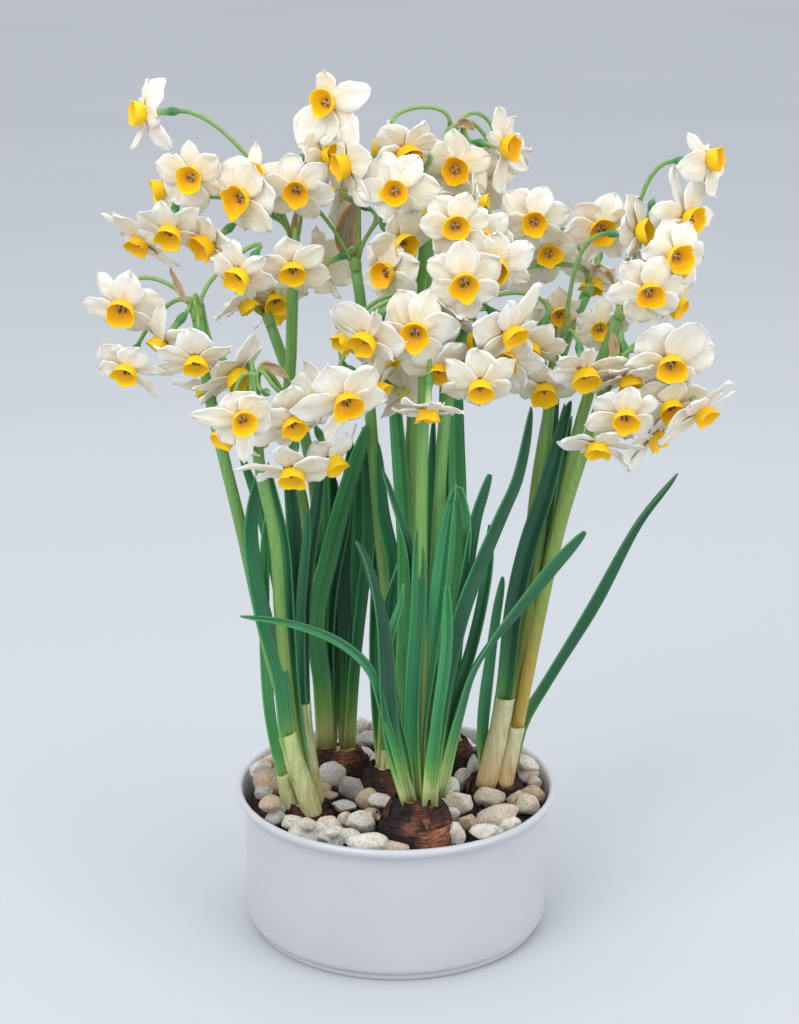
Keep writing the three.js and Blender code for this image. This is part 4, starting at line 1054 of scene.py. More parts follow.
# Stones in view: x and z where they show, width, height, lean in degrees and shade
STONES = [
    [-92, 103, 15, 13, 10, "white"], [-83, 108, 9, 13, 60, "pink"], [-85, 92, 17, 23, -15, "tan"],
    [-91, 75, 14, 12, 0, "tan"], [-78, 74, 11, 20, -25, "grey"], [-67, 64, 18, 10, 15, "white"],
    [-58, 58, 28, 14, 5, "white"], [-43, 60, 18, 15, 10, "beige"], [-38, 53, 27, 13, 0, "white"],
    [-42, 97, 20, 21, -10, "white"], [-31, 102, 13, 15, 30, "beige"], [-29, 89, 20, 16, 35, "dark"],
    [-45, 83, 13, 7, 0, "tan"], [-35, 76, 16, 7, 0, "grey"], [-20, 110, 20, 15, 15, "white"],
    [-18, 123, 17, 13, 0, "grey"], [-23, 134, 12, 11, 0, "white"], [-13, 132, 13, 10, 0, "grey"],
    [-19, 81, 15, 15, 10, "tan"], [-10, 79, 18, 10, 25, "white"], [-34, 66, 11, 10, 10, "beige"],
    [-22, 64, 20, 15, 5, "white"], [-20, 49, 28, 14, 0, "white"], [2, 86, 7, 12, 60, "beige"],
    [37, 88, 9, 16, 0, "white"], [44, 95, 14, 15, 10, "grey"], [45, 113, 13, 13, 0, "white"],
    [51, 104, 8, 16, 0, "grey"], [42, 77, 22, 17, -10, "beige"], [47, 64, 15, 14, 30, "tan"],
    [38, 55, 14, 17, -20, "white"], [62, 82, 20, 16, 10, "beige"], [66, 67, 30, 18, -15, "beige"],
    [60, 57, 22, 10, -5, "white"], [78, 80, 10, 15, 10, "tan"], [86, 76, 17, 15, 20, "beige"],
    [90, 84, 15, 12, 0, "tan"], [88, 107, 18, 9, 15, "white"], [86, 97, 17, 16, -30, "pink"],
    [91, 92, 9, 9, 0, "beige"], [28, 97, 9, 8, 0, "tan"], [28, 82, 8, 9, 0, "white"],
    [75, 62, 15, 10, -10, "white"], [-72, 56, 13, 8, 15, "beige"], [-52, 48, 12, 7, 0, "white"],
]
# The flats that a stone is worn to: how many, how far off its middle, and how much of what stands over goes
WORN_FLATS = 9
FLATS_OFF = (0.62, 0.86)
WORN_SHARE = 0.85
# The swell and the dents of a stone: their height and how close together they are
SWELL = (0.10, 1.4)
DENTS = (0.035, 4.5)


def stone(target, shade_name, middle, sizes, lean, vary):
    """A worn stone: a ball that is squeezed, worn flat in places and turned"""
    bm = fresh()
    bmesh.ops.create_icosphere(bm, subdivisions=4, radius=1)
    flats = []
    for _ in range(WORN_FLATS):
        side = Vector((vary(-1, 1), vary(-1, 1), vary(-1, 1))).normalized()
        flats.append((side, vary(*FLATS_OFF)))
    seed = vary(0, 90)
    for v in bm.verts:
        for side, off in flats:
            over = v.co.dot(side) - off
            if over > 0:
                v.co -= side * over * WORN_SHARE
        v.co *= 1 + SWELL[0] * noise.noise(v.co * SWELL[1] + Vector((seed, 0, 0)))
        v.co *= 1 + DENTS[0] * noise.noise(v.co * DENTS[1] + Vector((0, seed, 0)))
    turn = Matrix.Rotation(math.radians(lean), 4, "Y") @ Matrix.Rotation(vary(-0.5, 0.5), 4, "Z")
    scale = Matrix.Diagonal((*[s * MM / 2 for s in sizes], 1))
    bmesh.ops.transform(bm, matrix=Matrix.Translation(Vector(middle) * MM) @ turn @ scale, verts=bm.verts[:])
    layer = bm.verts.layers.float_color.new("stone_shade")
    light = vary(0.85, 1.12)
    for v in bm.verts:
        v[layer] = (*[min(1.0, c * light) for c in SHADES[shade_name]], 1.0)
    added(target, bm)


# Where a stone in view lies: at this level, or as much higher as brings it inside the wall. One that lies
# higher than the level of a second layer has another stone under it.
STONE_LEVEL = 87.5
STONE_TOP_LEVEL = 97
STONE_DEPTH = 0.8
STONE_GROWTH = 1.08
SECOND_LAYER = 91
UNDER_STONE = (15, 14, 12)
UNDER_DROP = 10
UNDER_INWARD = 0.96
BULB_ROOM = 0.8


def clear_of_shoots(x, y, room):
    for one in BULBS.values():
        if math.hypot(x - one["x"], y - one["y"]) < one["radius"] * BULB_ROOM + room:
            return False
    for sheath_rows in SHEATHS.values():
        for one in sheath_rows:
            foot = seen(*one["places"][0], one["depth"])
            if math.hypot(x - foot[0], y - foot[1]) < one["radius"] + room:
                return False
    return True


def stones_in_view(bm, vary):
    """The stones that the photo shows. Gives back where each lies and its half width"""
    laid = []
    for x, z, wide, high, lean, shade in STONES:
        level = STONE_LEVEL
        deep = vary(0.75, 1.0) * max(wide, high) * STONE_DEPTH
        within = INNER_WALL - 0.5 * max(wide, deep)
        while True:
            share = (EYE[2] - level) / (EYE[2] - z)
            spot = EYE + (np.array([x, 0.0, z]) - EYE) * share
            if math.hypot(spot[0], spot[1]) < within or level >= STONE_TOP_LEVEL:
                break
            level += 1
        spot[:2] *= min(1.0, within / math.hypot(spot[0], spot[1]))
        laid.append((spot[0], spot[1], max(wide, deep) / 2))
        stone(bm, shade, spot, (wide * STONE_GROWTH, deep, high * STONE_GROWTH), lean, vary)
        if level > SECOND_LAYER:
            beneath = (spot[0] * UNDER_INWARD, spot[1] * UNDER_INWARD, level - UNDER_DROP)
            stone(bm, "grey", beneath, UNDER_STONE, lean, vary)
    return laid


# How many other stones are tried, how far out they lie, and the room that each keeps from the wall, the
# shoots and the stones that lie there already, as a share of its width
MORE_STONES = 420
MORE_SHADES = ["white", "white", "beige", "beige", "tan", "pink", "grey", "grey"]
SPREAD = 91
WALL_ROOM = 0.55
SHOOT_ROOM = 0.42
STONE_ROOM = 0.86


def stones():
    """The stones in view, and as many others as find room on the soil"""
    vary = steady(2027)
    bm = fresh()
    bm.verts.layers.float_color.new("stone_shade")
    laid = stones_in_view(bm, vary)
    for _ in range(MORE_STONES):
        angle, radius, wide = vary(0, 2 * math.pi), SPREAD * math.sqrt(vary(0, 1)), vary(10, 19)
        x, y = radius * math.cos(angle), radius * math.sin(angle)
        shade = MORE_SHADES[int(vary(0, 7.99))]
        if radius > INNER_WALL - WALL_ROOM * wide or not clear_of_shoots(x, y, wide * SHOOT_ROOM):
            continue
        if any(math.hypot(x - a, y - b) < (wide / 2 + r) * STONE_ROOM for a, b, r in laid):
            continue
        laid.append((x, y, wide / 2))
        stone(bm, shade, (x, y, vary(84, 88)), (wide, wide * vary(0.7, 0.95), wide * vary(0.55, 0.8)),
              vary(-25, 25), vary)
    piece("stones_loose", bm, pebble_finish(), "pebble", "pebbles")


CRUMBS = 420
CRUMB_SPREAD = 93


def crumbs():
    """Crumbs of soil and bark between the stones"""
    vary = steady(77)
    bm = fresh()
    for _ in range(CRUMBS):
        small = fresh()
        bmesh.ops.create_icosphere(small, subdivisions=1, radius=1)
        for v in small.verts:
            v.co *= vary(0.6, 1.3)
        angle, radius = vary(0, 2 * math.pi), CRUMB_SPREAD * math.sqrt(vary(0, 1))
        wide = vary(1.2, 3.4)
        spot = Vector((radius * math.cos(angle), radius * math.sin(angle), vary(81, 85)))
        turn = Matrix.Rotation(vary(0, ANY_TURN), 4, Vector((vary(-1, 1), vary(-1, 1), 1)))
        scale = Matrix.Diagonal((wide * MM, wide * vary(0.4, 0.8) * MM, wide * vary(0.2, 0.5) * MM, 1))
        bmesh.ops.transform(small, matrix=Matrix.Translation(spot * MM) @ turn @ scale, verts=small.verts[:])
        added(bm, small)
    piece("soil_crumbs", bm, SOIL_FINISH, "soil", "soil")


# The bulbs

BULB_SIDES = 72
BULB_STATIONS = 13
# How far a bulb reaches down below its widest part, and its outline at its foot and in the hollow of its
# neck, in steps of a share of its widest radius and a height over the foot or the neck
BULB_DEPTH = 0.8
BULB_FOOT = [(0, 0), (0.5, 0), (0.72, 1)]
BULB_HOLLOW = [(0.56, 2.2), (0.5, 1.0), (0.45, -4), (0, -5)]
# How far in the outline runs at the neck and at the foot, and how late it turns in
SHOULDER = (0.38, 2.2)
UNDERSIDE = (0.28, 2)
# The crown's margin past its shoots, and how wide it would be undrawn, as a share of the widest radius
CROWN_MARGIN = 2.2
CROWN_SHARE = 0.62
# Ridges up the bulb, and wrinkles round it: their height, and how close together they are round and up
RIDGES = 17
RIDGE_HEIGHT = 0.3
WRINKLES = [(1.5, 3, 0.14), (0.5, 4, 0.9)]
RAGGED_NECK = (1.8, 2.2)
# How far off the middle line a bulb has all its left or right redness
RED_WITHIN = 5
# The scraps of skin: how far they stand off, how they narrow, and how ragged they end
SCRAPS = 16
SCRAP_OFF = 0.9
SCRAP_TAPER = 0.35
SCRAP_RAGS = (1.6, 3)
SKIN_THICKNESS = 0.35


def shoulder(part):
    return 1 - SHOULDER[0] * part ** SHOULDER[1]


def bulb_profile(one):
    """A bulb's outline, [radius, height], from its foot to the hollow inside its neck"""
    radius, waist, neck = one["radius"], one["waist"], one["neck"]
    low = waist - radius * BULB_DEPTH
    profile = [[radius * share, low + up] for share, up in BULB_FOOT]
    for i in range(1, BULB_STATIONS + 1):
        height = low + 1 + (neck - low) * i / BULB_STATIONS
        if height > waist:
            share = shoulder((height - waist) / (neck - waist))
        else:
            share = 1 - UNDERSIDE[0] * ((waist - height) / (waist - low)) ** UNDERSIDE[1]
        profile.append([radius * share, height])
    return profile + [[radius * share, neck + up] for share, up in BULB_HOLLOW]


def crown_stretch(one, spread):
    """How far a bulb is drawn out sideways and in depth, toward the oval crown that its shoots stand on"""
    round_crown = one["radius"] * CROWN_SHARE
    return [1 + ((side + CROWN_MARGIN) / round_crown - 1) * spread**2 for side in one["crown"]]


def wrinkled(bm, one, seed):
    """Gives a turned bulb its oval crown, its ridges and wrinkles, its ragged neck and its redness"""
    waist, neck, (red_left, red_right) = one["waist"], one["neck"], one["red"]
    redder = bm.verts.layers.float["tint"]
    for v in bm.verts:
        to_the_right = 0.5 + 0.5 * held(v.co.x / MM / RED_WITHIN, -1.0)
        v[redder] = red_left + (red_right - red_left) * to_the_right
        angle, height = math.atan2(v.co.y, v.co.x), v.co.z / MM
        r = math.hypot(v.co.x, v.co.y) / MM
        if r < 1:
            continue
        spread = held((height - waist) / (neck - waist))
        ridge = RIDGE_HEIGHT * math.sin(angle * RIDGES + seed) * spread
        wrinkles = sum(high * rough(math.cos(angle) * around, math.sin(angle) * around, height * up + seed)
                       for high, around, up in WRINKLES)
        grown = (r + ridge + wrinkles) / r
        sideways, in_depth = crown_stretch(one, spread)
        v.co.x *= sideways * grown
        v.co.y *= in_depth * grown
        if height > neck - 1:
            v.co.z += (RAGGED_NECK[0] + RAGGED_NECK[1] * rough(angle * 2.2, seed, 0)) * MM


def skin_scrap(target, one, seed, vary):
    """A loose scrap of dry skin, lifting off a bulb's shoulder"""
    radius, waist, neck = one["radius"], one["waist"], one["neck"]
    bm = fresh()
    angle, wide, tall = vary(0, ANY_TURN), vary(0.25, 0.55), vary(5, 11)
    foot, lift = vary(0.25, 0.85), vary(0.4, 2.2)
    for v, u, t in strip(bm, 6, 5):
        height = waist + (neck - waist) * foot + tall * t
        a = angle + u * wide * (1 - SCRAP_TAPER * t)
        part = max(0.0, (height - waist) / (neck - waist))
        r = radius * shoulder(min(part, 1.2)) + SCRAP_OFF + lift * t * t
        sideways, in_depth = crown_stretch(one, min(1.0, part))
        ragged = SCRAP_RAGS[0] * rough(u * SCRAP_RAGS[1], angle, seed) * t
        v.co = Vector((one["x"] + r * sideways * math.cos(a), one["y"] + r * in_depth * math.sin(a),
                       height + ragged)) * MM
    thickened(bm, SKIN_THICKNESS)
    added(target, bm)


def bulb(name):
    one = BULBS[name]
    vary = steady(600 + len(name) * 31)
    bm = fresh()
    turned(bm, bulb_profile(one), BULB_SIDES)
    seed = vary(0, 50)
    wrinkled(bm, one, seed)
    moved(bm, one["x"], one["y"])
    for _ in range(SCRAPS):
        skin_scrap(bm, one, seed, vary)
    piece(f"bulb_skin_{name}", bm, TUNIC_FINISH, "tunic", f"bulb_{name}")


# The shoots: sheaths, leaves and flower stems

TO_THE_EYE = np.array([0.0, -1.0, 0.0])


def turned_to_the_eye(way, degrees):
    """The way that a sheet faces at a place along its line, and its side"""
    face = Vector(unit(flat_to(TO_THE_EYE, way)))
    face.rotate(Matrix.Rotation(math.radians(degrees), 3, Vector(way)))
    return face, face.cross(Vector(way))


# A leaf's sheet: its stations, closer together toward the tip, its faces across, and how much wider it is
# made than it shows, because its channel draws its sides together
LEAF_STATIONS = 32
CLOSER_AT_THE_TIP = 1.5
LEAF_STEPS = 200
LEAF_ACROSS = 8
LEAF_GROWTH = 1.08
LEAF_THICKNESS = 1.0
# Its width at the foot and how it grows, where along it the tip's rounding starts, and its least half width
FOOT_WIDTH = 0.92
WIDENS_BY = 0.15
TIP_FROM = 0.55
TIP_LENGTH = 0.4502
LEAST_HALF = 0.5
# How much of a leaf's one turn it has at its foot
TURN_AT_FOOT = 0.3
# The channel down a leaf: how steep its sides are, and the share of its depth that lies behind the line
CHANNEL_STEEPNESS = 1.4
CHANNEL_BEHIND = 0.4
RIPPLES = 11


def leaf_places(one):
    (start, end), last = one["depth"], len(one["places"]) - 1
    return [seen(x, z, start + (end - start) * i / last) for i, (x, z) in enumerate(one["places"])]


def blade_width(t):
    """A blade's width along it, which grows a little and then rounds to the tip"""
    if t < TIP_FROM:
        return FOOT_WIDTH + WIDENS_BY * t
    return math.sqrt(max(0.0, 1 - ((t - TIP_FROM) / TIP_LENGTH) ** 3))


def turn_at(one, t):
    """How far a leaf is turned about its line: one number, or numbers at even steps along it"""
    turns = one["turn"]
    if isinstance(turns, list):
        return float(np.interp(t, np.linspace(0, 1, len(turns)), turns))
    return turns * (t + TURN_AT_FOOT)


def leaf(target, one, vary):
    """A strap leaf: a channelled sheet along its line, with a rounded tip"""
    stations = [1 - (1 - i / LEAF_STATIONS) ** CLOSER_AT_THE_TIP for i in range(LEAF_STATIONS + 1)]
    steps = range(LEAF_STEPS + 1)
    line = even(flowing(leaf_places(one)), LEAF_STEPS + 1)
    middle = np.array([[np.interp(s * LEAF_STEPS, steps, line[:, k]) for k in range(3)] for s in stations])
    ways = ways_along(middle)
    bm = fresh()
    mark_layer = bm.verts.layers.float["along"]
    phase, wave, channel = vary(0, ANY_TURN), vary(0.2, 0.9), vary(0.16, 0.34)
    lean, wide = vary(-12, 12), one["wide"] * LEAF_GROWTH
    for v, u, t in strip(bm, LEAF_ACROSS, LEAF_STATIONS):
        i = round(t * LEAF_STATIONS)
        s = stations[i]
        v[mark_layer] = max(s, one.get("from", 0))
        face, side = turned_to_the_eye(ways[i], turn_at(one, s) + lean)
        half = max(LEAST_HALF, wide / 2 * blade_width(s))
        depth = abs(u) ** CHANNEL_STEEPNESS - CHANNEL_BEHIND
        fold = channel * wide * depth * min(1.0, half / wide * 3)
        ripple = wave * math.sin(s * RIPPLES + phase) * u
        v.co = (Vector(middle[i]) + side * (half * u) + face * (fold + ripple)) * MM
    thickened(bm, LEAF_THICKNESS)
    added(target, bm, vary(0, 1))


# A sheath's tube runs up through these stations, and from the last of them down inside to this one
SHEATH_STATIONS = 12
SHEATH_FLOOR = 6
SHEATH_WALL = 0.8
SHEATH_OVAL = 0.78
SHEATH_SIDES = 20
SHEATH_TAPER = (1.10, 0.10)
OLDER_SHEATH = 0.45
# How ragged the lip is, and the ring that is left of an older sheath
RAGGED_LIP = (0.7, 0.5)
RAGGED_RING = (1.6, 0.3)


def sheath(target, one, vary, tint):
    """A tube of thin papery leaf base, with a slanting worn lip and the ring of an older one round it"""
    radius, top = one["radius"], SHEATH_STATIONS - 1
    middle = even(flowing([seen(x, z, one["depth"]) for x, z in one["places"]]), SHEATH_STATIONS)
    slant = Vector((vary(-1, 1), vary(-0.6, 0.4), 0)).normalized()
    deep, worn = vary(0.05, 0.3) * radius, vary(0, 50)
    inside = range(top, SHEATH_FLOOR - 1, -1)
    stations = [*range(SHEATH_STATIONS), *inside]
    ring = int(vary(3, 7.99))
    foot, taper = SHEATH_TAPER
    outer = [radius * (foot - taper * (i / top)) + (OLDER_SHEATH if i <= ring else 0)
             for i in range(SHEATH_STATIONS)]
    radii = [*outer, *[outer[i] - SHEATH_WALL for i in inside]]
    ways = [Vector(w) for w in ways_along(middle)]
    spokes = spokes_along(ways, (1, 0, 0))
    bm = fresh()
    frames = [ring_place(middle[i], ways[i], spokes[i], r, SHEATH_OVAL) for i, r in zip(stations, radii)]
    loops = rings(bm, frames, [i / top for i in stations], SHEATH_SIDES)
    for k in (top, top + 1):
        for v in loops[k]:
            out = v.co / MM - Vector(middle[top])
            ragged = RAGGED_LIP[0] * noise.noise(out * RAGGED_LIP[1] + Vector((worn, 0, 0)))
            v.co += ways[top] * (out.dot(slant) / radius * deep + ragged) * MM
    for k in (ring, ring + 1):
        for v in loops[k]:
            out = v.co / MM - Vector(middle[stations[k]])
            ragged = RAGGED_RING[0] * noise.noise(out * RAGGED_RING[1] + Vector((0, worn, 0)))
            v.co += ways[stations[k]] * ragged * MM
    added(target, bm, tint)


SCAPE_STATIONS = 26
SCAPE_SIDES = 16
SCAPE_OVAL = 0.84
SCAPE_TAPER = (1.12, 0.24)


def scape(target, umbel, tint):
    """A flower stem, a little oval and thicker at the foot"""
    line, last = even(flowing(scape_places(umbel)), SCAPE_STATIONS), SCAPE_STATIONS - 1
    foot, taper = SCAPE_TAPER
    rows = [(place, SCAPE_RADIUS * (foot - taper * i / last), i / last) for i, place in enumerate(line)]
    stem(target, rows, SCAPE_SIDES, tint, SCAPE_OVAL, (1, 0, 0))


# How tawny the sheaths and the stems of a bulb are
TAWNY = {"front": 0.1, "left": 0.15, "back_left": 0.3, "middle": 0.4, "right": 0.95, "back_right": 0.6}
OCHRE = {"front": 0.2, "left": 0.2, "back_left": 0.2, "middle": 0.4, "right": 0.75, "back_right": 0.5}

# The pale pad that the shoots of a bulb stand on, [radius, height], to be drawn out to the crown's oval
PAD = [[0, -8], [0.9, -8], [1.0, -2], [0.96, 1], [0.8, 2.6], [0, 1.4]]
PAD_SIDES = 32
PAD_TINT = 0.5


def pad(target, one):
    bm = fresh()
    turned(bm, PAD, PAD_SIDES)
    for v in bm.verts:
        v.co.x *= one["crown"][0]
        v.co.y *= one["crown"][1]
    moved(bm, one["x"], one["y"], one["neck"])
    added(target, bm, PAD_TINT)


def shoots(name, finishes):
    vary = steady(4000 + 7 * len(name) + ord(name[0]))
    blades, scapes, sheaths = fresh(), fresh(), fresh()
    for one in LEAVES[name]:
        leaf(blades, one, vary)
    umbels = [umbel for umbel in UMBELS.values() if umbel["bulb"] == name]
    for umbel in umbels:
        scape(scapes, umbel, held(OCHRE[name] + vary(-0.3, 0.3)))
    for one in SHEATHS[name]:
        tint = held(TAWNY[name] + vary(-0.15, 0.15))
        sheath(sheaths, one, vary, tint)
    pad(sheaths, BULBS[name])
    node = f"leaves_{name}"
    piece(f"blades_{name}", blades, finishes["leaf"], "leaf", node)
    piece(f"sheaths_{name}", sheaths, finishes["sheath"], "leaf", node)
    if umbels:
        piece(f"stems_{name}", scapes, finishes["scape"], "leaf", node)
    else:
        scapes.free()


# The umbels

# A tepal: how far out it starts and ends, its sheet, and half the width of an outer and an inner one
TEPAL_FOOT = 3.2
TEPAL_REACH = TEPAL_TIP + 0.4
TEPAL_THICKNESS = 0.32
TEPAL_ACROSS = 8
TEPAL_STATIONS = 12
OUTER_HALF = 10.2
INNER_HALF = 8.9
# How far the inner tepals lie in front of the others at their feet, and the outer ones behind
INNER_LAYER = 1.0
OUTER_LAYER = -0.7
# Where along a tepal it is widest, how wide its foot is, and the small point at its tip
WIDEST = 0.46
FOOT_SHARE = 0.42
POINT = 1.3
POINT_FROM = 0.9
# One tepal in eight is rolled in from the sides, and so is each very narrow one
ROLLED_SHARE = 0.13
ROLLED_NARROWER = 0.62
ROLLED_IN = 2.6
NARROW = 0.6


def tepal_form(look, inner, loose, vary):
    """How one tepal differs from the next. The order of these draws fixes every tepal's form"""
    angle, bend, longer, wider = look
    angle += vary(-0.11, 0.11) * loose
    half = (INNER_HALF if inner else OUTER_HALF) * vary(0.9, 1.06) * wider
    length = TEPAL_REACH * vary(0.94, 1.07) * longer - TEPAL_FOOT
    rolled = vary(0, 1) < ROLLED_SHARE * loose
    return {
        "angle": angle,
        "half": half * (ROLLED_NARROWER if rolled else 1),
        "length": length,
        "layer": INNER_LAYER if inner else OUTER_LAYER,
        "roll": vary(-0.6, 1.1) + (ROLLED_IN if rolled or wider < NARROW else 0),
        "twist": vary(-0.25, 0.25),
        "phase": vary(0, ANY_TURN),
        "waves": vary(0.4, 1.3),
        "lean": vary(-2.6, 2.6),
        "hook": vary(-2, 3),
        "tip": vary(0.55, 0.95),
        "seed": vary(0, 90),
        "lopsided": vary(-0.12, 0.12),
        "bend": bend + vary(-1, 1) ** 3 * 4.5 * loose,
    }


def tepal_width(t, tip):
    if t < WIDEST:
        return FOOT_SHARE + (1 - FOOT_SHARE) * math.sin(t / WIDEST * math.pi / 2) ** 1.1
    return max(0.0, 1 - ((t - WIDEST) / (1 - WIDEST)) ** 2.2) ** tip


def tepal_spot(form, u, t):
    """Where a tepal is at a place across and along it: out along its arm, to its side and forward"""
    seed, phase, out = form["seed"], form["phase"], TEPAL_FOOT + form["length"] * t
    half = max(0.4, form["half"] * tepal_width(t, form["tip"]))
    worn = 0.22 * rough(u * 2.6 + seed, t * 6, 0) * t
    ragged = 0.09 * rough(t * 8 + seed, 3.0 if u > 0 else 0.0, phase) * abs(u)
    sideways = half * u * (1 + worn + ragged) * (1 + form["lopsided"] * u) + form["lean"] * t * t
    bent = form["bend"] * (out / TEPAL_TIP) ** 2 - form["hook"] * t**4
    rolled = form["roll"] * u * u * min(1.0, half / form["half"]) * t
    keel = 0.7 * near(u, 0.14) * (1 - 0.4 * t)
    waves = form["waves"] * math.sin(u * 4.1 + t * 6.5 + phase) * (0.2 + 0.8 * abs(u)) * t
    frill = 0.55 * math.sin(t * 15 + 2.5 * phase + (2 if u > 0 else 0)) * abs(u) ** 3 * t
    crumple = rough(u * 1.8, t * 3.2, seed) + 0.45 * rough(u * 4.5, t * 5, seed)
    forward = (form["layer"] * (1 - 0.5 * t) + bent - rolled - keel + waves + frill + 2.2 * crumple * t
               + form["twist"] * u * half * t)
    point = POINT * near(u, 0.25) * max(0.0, t - POINT_FROM) / (1 - POINT_FROM)
    return out + point, sideways, forward


def tepal(target, stand, look, inner, loose, vary):
    """One tepal: a broad crumpled sheet that ends in a small point; a few are rolled in from the sides"""
    size, way, right = stand["size"], Vector(stand["way"]), Vector(stand["right"])
    form = tepal_form(look, inner, loose, vary)
    arm = right * math.cos(form["angle"]) + way.cross(right) * math.sin(form["angle"])
    side = way.cross(arm)
    bm = fresh()
    mark_layer = bm.verts.layers.float["along"]
    for v, u, s in strip(bm, TEPAL_ACROSS, TEPAL_STATIONS):
        t = math.sin(s * math.pi / 2)
        v[mark_layer] = t
        out, sideways, forward = tepal_spot(form, u, t)
        v.co = (Vector(stand["middle"]) + (arm * out + side * sideways + way * forward) * size) * MM
    thickened(bm, TEPAL_THICKNESS)
    added(target, bm, vary(0, 1))


# The cup's wall, up outside, over its lip and down its throat: radius, height and place in the colour
CUP_RINGS = [
    (3.4, -1.2, 0.0), (5.4, -0.3, 0.06), (6.7, 1.0, 0.12), (7.4, 2.6, 0.2), (7.8, 4.4, 0.3), (8.1, 6.3, 0.4),
    (8.5, 7.9, 0.48), (8.75, 8.5, 0.52), (8.45, 8.6, 0.55), (8.0, 7.8, 0.6), (7.5, 6.2, 0.66),
    (7.0, 4.5, 0.72), (6.1, 2.8, 0.8), (4.4, 1.3, 0.88), (2.5, 0.2, 0.95), (1.3, -1.0, 1.0),
]
CUP_SIDES = 40
# A notch in the lip, and the torn tongue: how wide they are, as angles, and how far the tongue hangs out
NOTCH_WIDTH = 0.22
TONGUE_WIDTH = 0.42
TONGUE_LENGTH = 8


def cup(target, stand, vary, tongue):
    """The golden cup: a bowl of thin wall with a wavy, notched lip, rarely with a torn tongue"""
    size, way, right = stand["size"] * vary(0.86, 1.0), Vector(stand["way"]), Vector(stand["right"])
    middle, side = Vector(stand["middle"]), way.cross(right)
    frames = [ring_place(middle + way * (h * size), way, right, r * size) for r, h, _ in CUP_RINGS]
    bm = fresh()
    loops = rings(bm, frames, [at for _, _, at in CUP_RINGS], CUP_SIDES)
    phase, lobes, squeeze, seed = vary(0, ANY_TURN), int(vary(3, 6.99)), vary(-0.08, 0.08), vary(0, 90)
    turn, lean = vary(0, ANY_TURN), vary(-1.0, 1.0)
    notch, deep = vary(-3.1, 3.1), max(0.0, vary(-1.5, 2.4))
    hang = Vector(tongue or (0, 0, 0))
    for loop, (_, h, _) in zip(loops, CUP_RINGS):
        share = max(0.0, h / CUP_HEIGHT) ** 1.5
        for v in loop:
            spot = v.co / MM - middle
            flat = spot - way * spot.dot(way)
            a = math.atan2(spot.dot(side), spot.dot(right))
            about = Vector((math.cos(a), math.sin(a), 0))
            frill = (0.3 * math.sin(a * lobes + phase) + 1.1 * noise.noise(about * 1.2 + Vector((0, 0, seed)))
                     + 0.5 * noise.noise(about * 3.4 + Vector((0, seed, 0))))
            outward = flat * (0.13 * frill + squeeze * math.cos(2 * a))
            forward = way * (frill * 1.5 + lean * math.cos(a + turn) - near(a - notch, NOTCH_WIDTH) * deep)
            torn = near(flat.normalized().angle(hang), TONGUE_WIDTH) * TONGUE_LENGTH if tongue else 0
            v.co += (outward + forward * size + hang * torn) * share * MM
    added(target, bm, vary(0, 1))


# A stamen that leans out of the throat and the pistil between them: the distance off the cup's middle line,
# the height, the radius and the mark
ANTHER = [(1.2, -0.6, 0.4, 0), (1.7, 0.9, 0.7, 0.3), (2.0, 2.4, 0.65, 0.7), (1.9, 3.6, 0.3, 1)]
PISTIL = [(-0.8, 0.3, 0), (1.5, 0.35, 0.3), (3.4, 0.6, 0.7), (4.2, 0.4, 1)]
ANTHERS = 3
STAMEN_SIDES = 7


def stamens(target, stand, vary):
    """Three upper anthers and the stigma, in the cup's throat"""
    middle, size, way, right = stand["middle"], stand["size"], stand["way"], stand["right"]
    start = vary(0, 2.0)
    for i in range(ANTHERS):
        a = start + 2 * math.pi * i / ANTHERS
        out = right * math.cos(a) + np.cross(way, right) * math.sin(a)
        rows = [(middle + (out * off + way * h) * size, r * size, at) for off, h, r, at in ANTHER]
        stem(target, rows, STAMEN_SIDES)
    stem(target, [(middle + way * h * size, r, at) for h, r, at in PISTIL], STAMEN_SIDES)


# The ovary and the tube, and a faded bloom's: distance from the ovary's foot, radius, place in the colour
TUBE_ROWS = [
    (0, 1.4, 0.56), (1.2, 2.0, 0.59), (3, 2.6, 0.63), (5, 2.75, 0.66), (7, 2.45, 0.69), (8.6, 2.1, 0.73),
    (10.5, 1.95, 0.77), (14, 2.0, 0.84), (17, 2.15, 0.9), (19.5, 2.5, 0.95), (21.2, 3.1, 0.99),
    (22.2, 3.8, 1.0),
]
POD_ROWS = [
    (0, 1.4, 0.58), (1.2, 2.0, 0.6), (3, 2.5, 0.64), (5, 2.3, 0.68), (6.4, 1.5, 0.72), (7.4, 0.8, 0.78),
    (9.5, 0.4, 0.9),
]
# Past this distance the tube widens with its bloom
FLARE_FROM = 17
STALK_STATIONS = 13
STALK_SIDES = 10
PEDICEL_COLOURS = 0.55
POD_STATIONS = 11
POD_SIDES = 9
POD_COLOURS = 0.5
POD_RISE = 0.4


def pedicel_rows(curve, count, colours):
    """A pedicel, in this share of the colours from the knob to the bloom"""
    return [(curve_point(curve, i / count), PEDICEL_RADIUS, colours * i / count) for i in range(count)]


def stalk(target, stand):
    """The pedicel, ovary and tube behind a bloom"""
    way, size = stand["way"], stand["size"]
    foot = stand["middle"] - way * (TUBE_LENGTH + OVARY_LENGTH)
    tube = [(foot + way * h, r * (1 if h < FLARE_FROM else size), at) for h, r, at in TUBE_ROWS]
    stem(target, pedicel_rows(stand["curve"], STALK_STATIONS, PEDICEL_COLOURS) + tube, STALK_SIDES)


def pod(target, neck, up, place):
    """A faded bloom's ovary on its pedicel"""
    end = seen(*place)
    way = unit(unit(end - neck) + up * POD_RISE)
    foot = end - way * OVARY_LENGTH
    rows = [(foot + way * h, r, at) for h, r, at in POD_ROWS]
    pedicel = pedicel_rows(pedicel_curve(neck, up, foot, way), POD_STATIONS, POD_COLOURS)
    stem(target, pedicel + rows, POD_SIDES)


